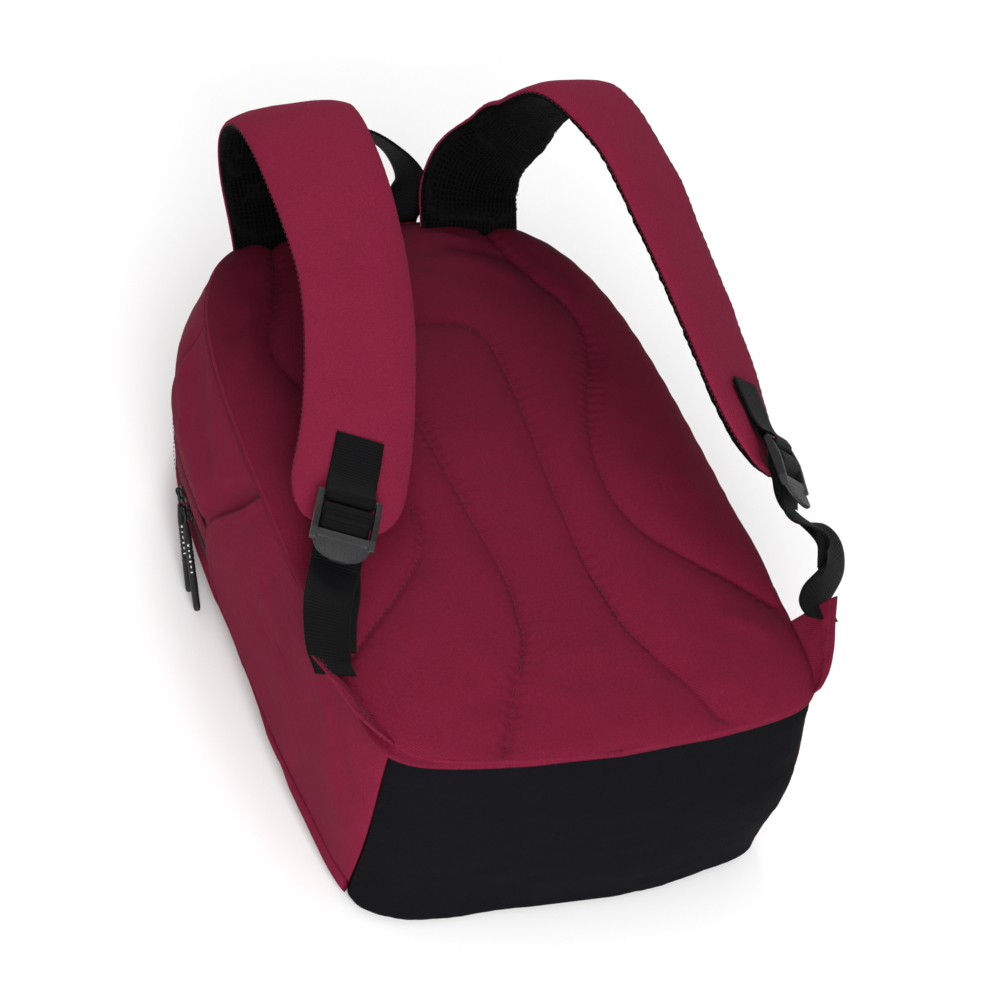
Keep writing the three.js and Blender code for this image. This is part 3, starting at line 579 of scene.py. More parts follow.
quilt = {
    "crown": 11.5, "cloth": 2.4, "edgeRoll": 3.2, "edgeWidth": 5.5, "lift": 1.6,
    "groove": 1.5, "grooveWidth": 1.9, "dip": 5.4, "dipWidth": 11.0,
    "pucker": 0.34, "puckerPitch": 7.5, "sag": 1.0, "stitch": 3.1, "stitchPitch": 4.1,
    "columns": 165, "rows": 235,
    "arch": [(0, 329), (20, 325.5), (32, 317.5), (36.5, 303), (37, 285), (36.5, 257), (34.5, 225), (32, 198),
             (30, 170), (28.5, 140), (28, 110), (31, 83), (34, 67), (50, 37), (65, 7), (76, -11)],
    "outer": [(74, 421), (79, 395), (91, 360), (103, 335), (107, 312), (100, 285), (88, 260), (79, 238),
              (68, 203),
              (66, 168), (75, 140), (92, 119), (121, 93), (141, 75)],
}
panelMiddle = np.array([0.0, bagShape["height"] / 2])
rimAngle = np.arctan2(seamY - panelMiddle[1], seamX)
rimOrder = np.argsort(rimAngle)
rimReach = np.hypot(seamX, seamY - panelMiddle[1])


def ringOf(x, y):
    reach = np.interp(np.arctan2(y - panelMiddle[1], x), rimAngle[rimOrder], rimReach[rimOrder],
                      period=2 * math.pi)
    return np.hypot(x, y - panelMiddle[1]) / reach, reach


def flatCurve(knots, mirror=1):
    k = np.array([(mirror * x, y, 0) for x, y in knots], float)
    return resample(catmull(k, np.linspace(0, 1, 500)), 1.5)[:, :2]


quiltLines = [np.concatenate([flatCurve(quilt["arch"], -1)[::-1], flatCurve(quilt["arch"])[1:]]),
              flatCurve(quilt["outer"], -1), flatCurve(quilt["outer"])]


def nearestLine(x, y):
    # distance to the nearest sewn line, and how far along that line
    best, along, run = np.full(x.shape, 1e9), np.zeros(x.shape), 0.0
    for line in quiltLines:
        a, b = line[:-1], line[1:]
        steps = np.hypot(*(b - a).T)
        starts = run + np.concatenate([[0], np.cumsum(steps)[:-1]])
        for k in range(len(a)):
            d = (b[k] - a[k]) / steps[k]
            t = np.clip((x - a[k, 0]) * d[0] + (y - a[k, 1]) * d[1], 0, steps[k])
            gap = np.hypot(x - a[k, 0] - t * d[0], y - a[k, 1] - t * d[1])
            near = gap < best
            best = np.where(near, gap, best)
            along = np.where(near, starts[k] + t, along)
        run += steps.sum() + 50
    return best, along


# creases on the panel: from, to, half width, height (a negative one is a fold going in)
panelCreases = [
    ((-60, 405), (-128, 330), 7, -1.5), ((-50, 395), (-112, 300), 9, 1.5), ((-96, 392), (-138, 318), 6, -1.3),
    ((-104, 372), (-141, 288), 6, 1.2), ((40, 398), (92, 372), 6, -1.2), ((34, 386), (80, 352), 8, 1.2),
    ((22, 408), (58, 402), 5, 1.1), ((14, 396), (52, 392), 6, -1.0), ((96, 398), (126, 330), 8, -1.2),
    ((-8, 372), (26, 360), 9, 1.0), ((-22, 350), (8, 342), 8, -0.8), ((-30, 56), (22, 48), 9, 0.9),
    ((-20, 34), (34, 30), 7, -0.8), ((44, 20), (92, 26), 8, 0.9), ((-90, 22), (-44, 30), 9, -0.8),
    ((86, 64), (128, 50), 8, 0.9), ((-128, 196), (-96, 236), 10, 0.9), ((118, 150), (130, 236), 12, 1.0),
    ((52, 120), (60, 40), 14, 1.0), ((-56, 140), (-52, 60), 15, -0.8),
]


def creaseHeight(p, creases):
    total = 0
    for (ax, ay), (bx, by), width, height in creases:
        d = np.array([bx - ax, by - ay], float)
        size = np.hypot(*d)
        d /= size
        t = ((p[..., 0] - ax) * d[0] + (p[..., 1] - ay) * d[1]) / size
        side = (p[..., 0] - ax) * -d[1] + (p[..., 1] - ay) * d[0]
        side = side + 3.0 * np.sin(t * 4 + ax)
        fade = smooth(t / 0.35 + 0.3) * smooth((1 - t) / 0.35 + 0.3)
        total = total + 1.5 * height * fade * np.exp(-(side / width) ** 2)
    return total


def panelHeight(x, y):
    q = quilt
    ring, reach = ringOf(x, y)
    ring = np.clip(ring, 0, 1)
    edge = (1 - ring) * reach
    gap, along = nearestLine(x, y)
    pad = 1 - np.exp(-(gap / q["dipWidth"]) ** 1.3)
    height = bagShape["backSeam"] + q["crown"] * (1 - ring ** 4) + q["cloth"] + q["lift"]
    sunk = q["dip"] * (1 - pad) + q["groove"] * np.exp(-(gap / q["grooveWidth"]) ** 2)
    height = height - sunk * smooth(edge / 12)
    uneven = 1 + 0.6 * np.sin(along / 31)
    height = height + q["pucker"] * uneven \
        * np.sin(2 * math.pi * along / q["puckerPitch"] + np.sin(along / 13)) \
        * np.exp(-((gap - 3.5) / 4.0) ** 2)
    rim = 1 - np.exp(-edge / q["edgeWidth"])
    height = height - (q["edgeRoll"] + q["lift"] + 1.0) * (1 - rim)
    flat = np.stack([x, y], -1)
    soft = q["sag"] * ripple(flat, 150, 3, 2) + 0.22 * ripple(flat, 34, 4, 3)
    return height + (soft + creaseHeight(flat, panelCreases)) * np.clip(edge / 14, 0, 1)


def squareGrid(columns, rows):
    # a grid of points that fills the bag's outline with evenly sized cells
    s, t = np.meshgrid(np.linspace(-1, 1, columns), np.linspace(-1, 1, rows))
    ring = np.maximum(np.maximum(np.abs(s), np.abs(t)), 1e-9)
    sq, tq = s / ring, t / ring
    bottom = (np.abs(tq) > 1 - 1e-9) & (tq < 0)
    top = (np.abs(tq) > 1 - 1e-9) & (tq > 0)
    half = np.abs(sq)
    distance = np.where(bottom, half * cornerDistance,
                        np.where(top, mix(seamLength / 2, topCorner, half),
                                 mix(cornerDistance, topCorner, (tq + 1) / 2)))
    x, y = outline(seamAngle(distance))
    x = np.where(s < 0, -x, x)
    return x * ring, panelMiddle[1] + (y - panelMiddle[1]) * ring


px, py = squareGrid(quilt["columns"], quilt["rows"])
panelGrid = np.stack([px, py, panelHeight(px, py)], -1)
# the panel is drawn in the darker painted-shade copy of the burgundy cloth
backPanel = sheetPiece("backPanelQuilted", panelGrid, 2.0, burgundyPanelPaintedShade,
                       inward=np.broadcast_to([0.0, 0, 1], panelGrid.shape),
                       cloth=np.stack([px, py, np.zeros_like(px)], -1))
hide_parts("back_panel_shell", "back_panel_foam")
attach(backPanel, "bag")

places = []
for line in quiltLines:
    inside = line[ringOf(line[:, 0], line[:, 1])[0] < 0.99]
    high = panelHeight(inside[:, 0], inside[:, 1]) + 0.12
    points = np.column_stack([inside, high])
    places += stitchPlaces(points, np.tile([0.0, 0, 1], (len(points), 1)), quilt["stitchPitch"])
# lines along the quilting grooves, for the painted shadow lines laid in them
quiltShadowLines = []
for line in quiltLines:
    inside = line[ringOf(line[:, 0], line[:, 1])[0] < 0.985]
    high = panelHeight(inside[:, 0], inside[:, 1])
    quiltShadowLines.append((np.column_stack([inside, high]), np.tile([0.0, 0, 1], (len(inside), 1))))
quiltStitches = scatterPiece("backPanelStitches", places, grain(quilt["stitch"], 0.75, 0.6), burgundyThread)
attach(quiltStitches, "bag")
print("back panel made")


# Walls: side panels, pockets, gusset, zip, front and base

wallLook = {
    "cloth": 2.0, "sag": 1.5, "small": 0.30, "seamRoll": 1.7, "seamWidth": 4.5,
    "hemLow": 204, "hemHigh": 237, "hemRun": 75, "hemBand": 9, "hemLift": 0.9,
    "pocketEnd": 118, "recess": 3.4, "release": 16, "gape": 0.5, "tuckIn": 2.4, "gussetStart": 352,
    "facingStart": 76, "zipCentre": 104, "tapeWidth": 11.4, "baseUnder": 12, "zipFromHem": 6,
}
# creases on the left wall: from, to as (height, distance down the wall), half width, height
leftCreases = [
    ((412, 12), (345, 52), 6, 1.5), ((398, 4), (320, 34), 7, -1.4), ((372, 20), (300, 58), 8, 1.5),
    ((345, 6), (262, 40), 8, -1.2), ((322, 50), (246, 62), 8, 1.1), ((296, 14), (240, 34), 6, 1.0),
    ((205, 24), (150, 52), 9, 0.9), ((176, 62), (104, 50), 10, -1.0), ((128, 16), (52, 46), 9, 0.9),
    ((84, 8), (26, 58), 9, -0.8), ((60, 60), (18, 82), 8, 0.9),
]


def hemDistance(down):
    w = wallLook
    return seamAtHeight(mix(w["hemLow"], w["hemHigh"], smooth(np.asarray(down, float) / w["hemRun"])))


def wallSheet(name, side, along, across, place, material, seams=(True, True, True, True),
              thickness=None, extra=None, replaces=None, sag=None):
    # place(u, v) gives seam distance, distance down and depth; seams says which edges roll in:
    # first column, last column, upper row, lower row
    w = wallLook
    v, u = np.meshgrid(np.linspace(0, 1, across), np.linspace(0, 1, along), indexing="ij")
    distance, down, depth = np.broadcast_arrays(*place(u, v))
    mirrored = onSide(side, distance)
    flat = wall(mirrored, down, depth)
    outward = unit(wall(mirrored, down, depth - 1.0) - wall(mirrored, down, depth))
    flat = flat - np.array([0, 0, w["tuckIn"]]) * np.exp(-(down / 4) ** 2)[..., None]
    cells = np.linalg.norm(np.diff(flat, axis=1), axis=-1)
    runU = np.concatenate([np.zeros((across, 1)), np.cumsum(cells, 1)], 1)
    cells = np.linalg.norm(np.diff(flat, axis=0), axis=-1)
    runV = np.concatenate([np.zeros((1, along)), np.cumsum(cells, 0)], 0)
    edges = [runU, runU[:, -1:] - runU, runV, runV[-1:] - runV]
    inside = np.full(flat.shape[:2], 1e9)
    roll = 0
    for edge, seam in zip(edges, seams):
        if seam:
            inside = np.minimum(inside, edge)
    roll = -w["seamRoll"] * np.exp(-inside / w["seamWidth"])
    amount = w["sag"] if sag is None else sag
    soft = amount * ripple(flat, 120, len(name), 2) + w["small"] * ripple(flat, 26, len(name) + 7, 3)
    pucker = 0.3 * np.sin(2 * math.pi * (runU + runV) / 7.0) * np.exp(-((inside - 3) / 3.5) ** 2)
    lift = roll + soft * np.clip(inside / 12, 0, 1) + pucker
    if side < 0:
        seamHeight = outline(seamAngle(mirrored))[1]
        lift = lift + creaseHeight(np.stack([seamHeight, down], -1), leftCreases) * np.clip(inside / 12, 0, 1)
    if extra:
        lift = lift + extra(distance, down, u, v)
    grid = flat + outward * lift[..., None]
    cloth = np.stack([runU + distance[:1, :1], runV + down[:1, :1], np.zeros_like(runU)], -1)
    if np.einsum("ijk,ijk->ij", gridNormals(grid), outward).mean() < 0:
        grid, outward, cloth = grid[:, ::-1], outward[:, ::-1], cloth[:, ::-1]
    piece = sheetPiece(name, grid, thickness or w["cloth"], material, inward=outward, cloth=cloth)
    if replaces:
        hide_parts(*replaces)
    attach(piece, "bag")
    return piece


def wallLine(side, distance, down, depth=0.0, out=0.3):
    # a line on the wall with its outward normals
    distance, down = np.broadcast_arrays(np.asarray(distance, float), np.asarray(down, float))
    d = onSide(side, distance)
    at = wall(d, down, depth)
    outward = unit(wall(d, down, depth - 1.0) - at)
    return at + outward * out, outward


def sewnLine(name, lines, pitch, size, material, body="bag"):
    places = []
    for points, normals in lines:
        places += stitchPlaces(points, normals, pitch)
    piece = scatterPiece(name, places, grain(*size), material)
    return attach(piece, body)


def seamShadowLine(name, lines, radius=0.6, drop=0.25, body="bag"):
    # a thin near-black line sunk along a seam: painted shadow standing in for the shade in the fold where two
    # cloths are sewn
    points, faces = [], []
    for line, normals in lines:
        both = resample(np.hstack([line - normals * drop, normals]), 2.5)
        rings = cordRings(both[:, :3], radius, sides=6, up=unit(both[:, 3:]))
        start = len(points)
        points += [tuple(p) for p in rings.reshape(-1, 3)]
        faces += [tuple(start + i for i in f) for f in gridFaces(len(rings), 6, wrap=True)]
        faces += [tuple(range(start, start + 6))[::-1], tuple(range(len(points) - 6, len(points)))]
    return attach(makePiece(name, np.array(points), faces, None, paintedSeamShadow), body)


w = wallLook


def sidePlace(u, v):
    # set back behind the pocket, flush with the wall above it
    down = v * w["pocketEnd"]
    hem = hemDistance(down)
    top = seamAtHeight(w["gussetStart"])
    lower = np.clip(u / 0.45, 0, 1)
    upper = np.clip((u - 0.45) / 0.55, 0, 1)
    distance = np.where(u < 0.45, mix(cornerDistance + 0.5, hem + 2, lower), mix(hem + 2, top, upper))
    downAll = np.where(u < 0.45, down, v * mix(w["pocketEnd"], w["facingStart"], smooth(upper * 12)))
    release = smooth((distance - hem - 4) / w["release"])
    return distance, downAll, w["recess"] * (1 - release)


for side, word in ((-1, "left"), (1, "right")):
    wallSheet("sidePanel_" + word, side, 150, 60, sidePlace, burgundyTwill,
              seams=(False, True, True, True), replaces=["side_panel_" + word])

    def pocketPlace(u, v):
        down = v * w["pocketEnd"]
        return mix(cornerDistance + 0.5, hemDistance(down), u), down, 0.0

    def pocketExtra(distance, down, u, v):
        # a folded hem stands proud and the mouth gapes a little between its ends
        back = hemDistance(down) - distance
        band = w["hemLift"] * smooth((w["hemBand"] - back) / 1.6)
        gape = w["gape"] * np.exp(-back / 26) * np.sin(math.pi * np.clip(down / w["pocketEnd"], 0, 1)) ** 2
        return band + gape

    wallSheet("sidePocket_" + word, side, 130, 64, pocketPlace, burgundyTwill,
              seams=(True, False, True, True),
              thickness=1.5, extra=pocketExtra, replaces=["side_pocket_" + word])
    downs = np.linspace(5, w["pocketEnd"] - 4, 60)
    hemLines = [wallLine(side, hemDistance(downs) - back, downs,
                         out=1.25 + w["gape"] * math.exp(-back / 26)
                         * np.sin(math.pi * downs / w["pocketEnd"])[:, None] ** 2)
                for back in (w["hemBand"] - 0.6, 2.2)]
    sewnLine("sidePocketStitches_" + word, hemLines, 3.6, (2.6, 0.6, 0.5), burgundyThread)

gussetFrom = seamAtHeight(w["gussetStart"])
wallSheet("topGusset", 1, 260, 40,
          lambda u, v: (mix(gussetFrom + 0.5, seamLength - gussetFrom - 0.5, u),
                        v * (w["facingStart"] - 0.4), 0.0),
          burgundyTwill, replaces=["top_gusset"])
zipFrom = float(hemDistance(w["pocketEnd"]) + w["zipFromHem"])
tapeLow = w["zipCentre"] - w["tapeWidth"] / 2
wallSheet("zipFacing", 1, 420, 16,
          lambda u, v: (mix(zipFrom, seamLength - zipFrom, u), mix(w["facingStart"] + 0.4, tapeLow + 1.6, v),
                        -0.35),
          burgundyTwill, seams=(False, False, True, True), thickness=1.5, sag=0.6, replaces=["zip_facing"])
wallSheet("baseCloth", 1, 190, 96,
          lambda u, v: (mix(-cornerDistance + 0.4, cornerDistance - 0.4, u),
                        v * (lengthAt(mix(-cornerDistance, cornerDistance, u)) + w["baseUnder"]) + 0.6, 0.0),
          blackTwill, sag=1.7, replaces=["base_panel"])
print("walls made")

# Main zip: tape, coil and the needle line beside it
zip_ = {"toothPitch": 1.7, "tooth": (3.4, 1.15, 1.3), "coilGap": 1.15, "tapeDepth": 0.9}
wallSheet("mainZipTape", 1, 420, 10,
          lambda u, v: (mix(zipFrom, seamLength - zipFrom, u),
                        tapeLow + v * w["tapeWidth"], zip_["tapeDepth"]),
          blackWebbing, seams=(False,) * 4, thickness=1.0, sag=0.0,
          replaces=["main_zip_tape"])
zipRun = np.linspace(zipFrom + 2, seamLength - zipFrom - 2, 900)
teeth = []
for row, shift in ((-1, 0.0), (1, 0.5)):
    line, normals = wallLine(1, zipRun, w["zipCentre"] + row * zip_["coilGap"], zip_["tapeDepth"], 0.55)
    for at, along, across, up in stitchPlaces(line, normals, zip_["toothPitch"]):
        teeth.append((at + along * shift * zip_["toothPitch"], across, along, up))
mainTeeth = scatterPiece("mainZipTeeth", teeth, grain(*zip_["tooth"], sides=5), zipNylon)
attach(mainTeeth, "bag")
zipLines = [wallLine(1, zipRun, tapeLow - 1.2, 0, 0.85),
            wallLine(1, zipRun, w["zipCentre"] + w["tapeWidth"] / 2 + 2.6, 0, 0.35),
            wallLine(1, np.linspace(gussetFrom, seamLength - gussetFrom, 500), w["facingStart"] + 3.4, 0,
                     0.55)]
zipLines.append(wallLine(1, zipRun, w["facingStart"] + 2.8, 0, 0.35))
sewnLine("mainZipStitches", zipLines, 3.8, (2.7, 0.6, 0.5), burgundyThread)
hems = []
for side in (-1, 1):
    downs = np.linspace(2, w["pocketEnd"] - 1, 50)
    hems.append(wallLine(side, hemDistance(downs) + 0.7, downs, out=-0.2))
# painted shadow lines along the pocket hems and the zip facing seam
seamShadowLine("wallSeamShadowLines", hems + [wallLine(1, zipRun, w["facingStart"] + 0.2, 0, -1.0)])

# Front panel: the flat face and the rounded edge that rises from it to the zip, the pocket and the base
frontLook = {"columns": 150, "rows": 200, "sag": 1.2}


def frontGrid():
    s, t = np.meshgrid(np.linspace(-1, 1, frontLook["columns"]), np.linspace(-1, 1, frontLook["rows"]))
    ring = np.maximum(np.maximum(np.abs(s), np.abs(t)), 1e-9)
    sq, tq = s / ring, t / ring
    bottom = (np.abs(tq) > 1 - 1e-9) & (tq < 0)
    top = (np.abs(tq) > 1 - 1e-9) & (tq > 0)
    half = np.abs(sq)
    distance = np.where(bottom, half * cornerDistance,
                        np.where(top, mix(seamLength / 2, topCorner, half),
                                 mix(cornerDistance, topCorner, (tq + 1) / 2)))
    distance = np.where(s < 0, seamLength - distance, distance)
    near = np.minimum(distance, seamLength - distance)
    zipRim = w["zipCentre"] + w["tapeWidth"] / 2 + 0.4
    hemEnd = float(hemDistance(w["pocketEnd"]))
    full = lengthAt(distance)
    rim = mix(full + w["baseUnder"] - 1.5, w["pocketEnd"] + 0.5, smooth((near - cornerDistance) / 3 + 0.5))
    rim = mix(rim, zipRim, smooth((near - hemEnd - 3) / 4))
    flatShare = 0.72
    inner = np.clip(ring / flatShare, 0, 1)
    outer = np.clip((ring - flatShare) / (1 - flatShare), 0, 1)
    start = np.maximum(full, rim + 0.4)
    edge = wall(distance, start, 0.0)
    middle = np.array([0, panelMiddle[1], bagShape["frontZ"]])
    rise = np.array([0, 0, 1.0]) * (edge[..., 2:] - bagShape["frontZ"])
    flat = settle(middle + (edge - rise - middle) * inner[..., None])
    curved = wall(distance, mix(start, rim, outer), 0.0)
    grid = np.where((ring < flatShare)[..., None], flat, curved)
    below = np.array([0, 0, -1.0])
    outward = unit(wall(distance, mix(start, rim, outer), -1.0) - curved)
    outward = np.where((ring < flatShare)[..., None], below, outward)
    soft = frontLook["sag"] * ripple(grid, 110, 21, 2) + 0.25 * ripple(grid, 24, 22, 3)
    inward = np.minimum(soft, 0.4) * np.clip((1 - ring) / 0.04, 0, 1) - 1.2 * np.exp(-(1 - ring) * 90)
    return grid + outward * inward[..., None], outward


front, frontOut = frontGrid()
frontPiece = sheetPiece("frontPanel", front[:, ::-1], 2.0, burgundyTwill, inward=frontOut[:, ::-1],
                        cloth=front[:, ::-1])
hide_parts("front_panel")
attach(frontPiece, "bag")

# Front pocket, which the bag lies on: a shallow gusseted cloth box with a zip along its upper edge
pocketLook = {"halfWidth": 100, "low": 50, "high": 292, "corner": 18, "zipHalf": 78}


def roundedOutline(inset, count=280):
    k = pocketLook
    a, r = k["halfWidth"] - inset, max(k["corner"] - inset, 3.0)
    low, high = k["low"] + inset, k["high"] - inset
    corners = [(a - r, low + r, -90), (a - r, high - r, 0), (-a + r, high - r, 90), (-a + r, low + r, 180)]
    line = []
    for cx, cy, start in corners:
        for step in range(9):
            turn = math.radians(start + step * 90 / 8)
            line.append((cx + r * math.cos(turn), cy + r * math.sin(turn)))
    line = np.array(line + line[:1])
    run = lengthAlong(line)
    at = np.linspace(0, run[-1], count, endpoint=False)
    return np.stack([np.interp(at, run, line[:, k]) for k in (0, 1)], -1)


rings = []
profile = [(1.9, 8.7), (0.5, 8.3), (0.1, 6.5), (0.0, 4.8), (0.2, 3.0), (1.0, 1.3), (2.4, 0.35), (4.0, 0.0)]
for inset, height in profile:
    ring = roundedOutline(inset)
    rings.append(np.column_stack([ring, np.full(len(ring), height)]))
for inset in (10, 22, 38, 56, 76, 95):
    ring = roundedOutline(inset)
    still = np.column_stack([ring, np.zeros(len(ring))])
    still[:, 2] = 0.35 * (1 + ripple(still, 60, 31, 2)) * smooth((inset - 8) / 20)
    rings.append(still)
pocketRings = np.stack(rings)
pocket = tubePiece("frontPocket", pocketRings[::-1], burgundyTwill,
                   cloth=pocketRings[::-1] * np.array([1, 1, 0.0]))
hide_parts("front_pocket_panel")
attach(pocket, "bag")
edgeLine = np.column_stack([roundedOutline(5.5), np.full(280, 0.12)])
sewnLine("frontPocketStitches", [(np.vstack([edgeLine, edgeLine[:1]]), np.tile([0.0, 0, -1], (281, 1)))], 3.8,
         (2.7, 0.6, 0.3), burgundyThread)
tapeY = pocketLook["high"] + 0.1
xs = np.linspace(-pocketLook["zipHalf"], pocketLook["zipHalf"], 120)
zs = np.linspace(3.0, 8.3, 6)
tapeGrid = np.stack(np.meshgrid(xs, zs), -1)
tapeGrid = np.stack([tapeGrid[..., 0], np.full(tapeGrid.shape[:2], tapeY), tapeGrid[..., 1]], -1)
frontTape = sheetPiece("frontZipTape", tapeGrid[:, ::-1], 0.9, blackWebbing,
                       inward=np.broadcast_to([0.0, 1, 0], tapeGrid.shape),
                       cloth=tapeGrid[..., [0, 2, 1]][:, ::-1])
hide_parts("front_zip_tape")
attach(frontTape, "bag")
teeth = []
for row, shift in ((-1, 0.0), (1, 0.5)):
    for x in np.arange(-pocketLook["zipHalf"] + 2, pocketLook["zipHalf"] - 2, zip_["toothPitch"]):
        teeth.append(((x + shift * zip_["toothPitch"], tapeY + 0.35, 5.7 + row * 0.8), np.array([0, 0, 1.0]),
                      np.array([1.0, 0, 0]), np.array([0, 1.0, 0])))
frontTeeth = scatterPiece("frontZipTeeth", teeth, grain(2.4, 1.15, 0.8, sides=5), zipNylon)
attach(frontTeeth, "bag")
print("front made")

# Shoulder straps

strapLook = {
    "rootX": 66.5, "rootY": 424, "rootWidth": 70, "width": 77, "taper": 0.92, "thickness": 11.0,
    "endRadius": 34,
    "endHalfWidth": 15, "edge": 0.46, "crown": 1.0, "step": 2.6, "around": 34, "tuck": 16,
    "under": 1.1, "meshInset": 0.9, "meshHeight": 0.5, "pucker": 0.28,
    "left": [(0, 0, 7.5, (1, 0, 0)), (0.03, 28, 34, (1, 0, 0.05)), (0.078, 32, 66, (0.99, 0, 0.1)),
             (0.1, 10, 97, (0.98, 0, 0.15)), (0.09, -44, 101, (0.99, 0, 0.1)),
             (0.09, -124, 76, (0.99, 0, -0.1)),
             (0.33, -206, 44, (1, -0.04, -0.04)),
             (0.68, -270, 25, (0.97, -0.22, 0))],
    "right": [(0, 0, 7.5, (1, 0, 0)), (0.03, 13, 17, (1, 0.01, -0.01)), (0.13, 24, 32, (1, 0.03, -0.05)),
              (0.31, 28, 52, (0.99, 0.08, -0.1)), (0.473, 27, 76, (0.96, 0.15, -0.15)),
              (0.617, 4, 110, (0.93, 0.25, -0.25)), (0.82, -49, 108, (0.88, 0.2, -0.4)),
              (0.892, -119, 94, (0.86, 0.1, -0.48)), (0.892, -194, 82, (0.84, 0.1, -0.52)),
              (0.868, -246, 73, (0.8, 0.15, -0.58)), (0.892, -292, 60, (0.7, 0.25, -0.68))],
    "bodyCreases": {
        # along the strap, across it (-1 to 1), length, half width, height, slant
        "left": [(150, 0.0, 60, 9, 0.9, 0.4), (205, 0.3, 70, 11, -0.9, -0.3), (262, -0.3, 60, 9, 0.8, 0.5),
                 (318, 0.2, 54, 8, -0.8, 0.3), (352, -0.2, 40, 7, 0.9, -0.5), (92, 0.2, 50, 8, -0.9, 0.2)],
        "right": [(112, 0.1, 60, 9, -0.9, 0.3), (180, -0.2, 80, 11, 0.9, -0.3), (250, 0.2, 80, 12, -0.8, 0.4),
                  (330, 0.0, 70, 10, 0.8, 0.3), (384, 0.2, 50, 8, -0.8, -0.4)],
    },
}


def strapKnots(side, word):
    s = strapLook
    knots = []
    for outward, above, lift, wide in s[word]:
        x = side * mix(s["rootX"], bagShape["halfWidth"], outward)
        knots.append(((x, s["rootY"] + above, bagShape["backSeam"] + lift), wide))
    return knots


def strapHalf(run, length):
    s = strapLook
    full = mix(s["rootWidth"], s["width"], smooth(run / 120)) / 2 * mix(1, s["taper"],
                                                                        smooth((run - 180) / 180))
    toEnd = length - run
    t = np.clip(1 - toEnd / s["endRadius"], 0, 1)
    shaped = mix(s["endHalfWidth"], full, np.sqrt(np.maximum(0, 1 - t * t)))
    return np.where(toEnd >= s["endRadius"], full, shaped)


def strapSection(half, thickness, around):
    # points round a padded strap: crowned on top, thin at its sewn edges, flat below
    s = strapLook
    turn = np.linspace(0, 2 * math.pi, around, endpoint=False)
    c, n = np.cos(turn), np.sin(turn)
    a = np.sign(c) * np.abs(c) ** 0.62
    pad = s["edge"] + (1 - s["edge"]) * (1 - np.abs(a) ** 5)
    o = np.where(n > 0, np.abs(n) ** 0.5 * thickness / 2 * pad + s["crown"] * (1 - a ** 2),
                 -s["under"] * np.abs(n) ** 0.5)
    return half[:, None] * a[None], np.broadcast_to(o, (len(half), around))


def strapCreases(word, run, across, half):
    total = 0
    for at, off, length, width, height, slant in strapLook["bodyCreases"][word]:
        d = run - at - slant * (across - off * half)
        reach = np.exp(-((across - off * half) / (length / 2)) ** 2)
        total = total + height * reach * np.exp(-(d / width) ** 2)
    return total


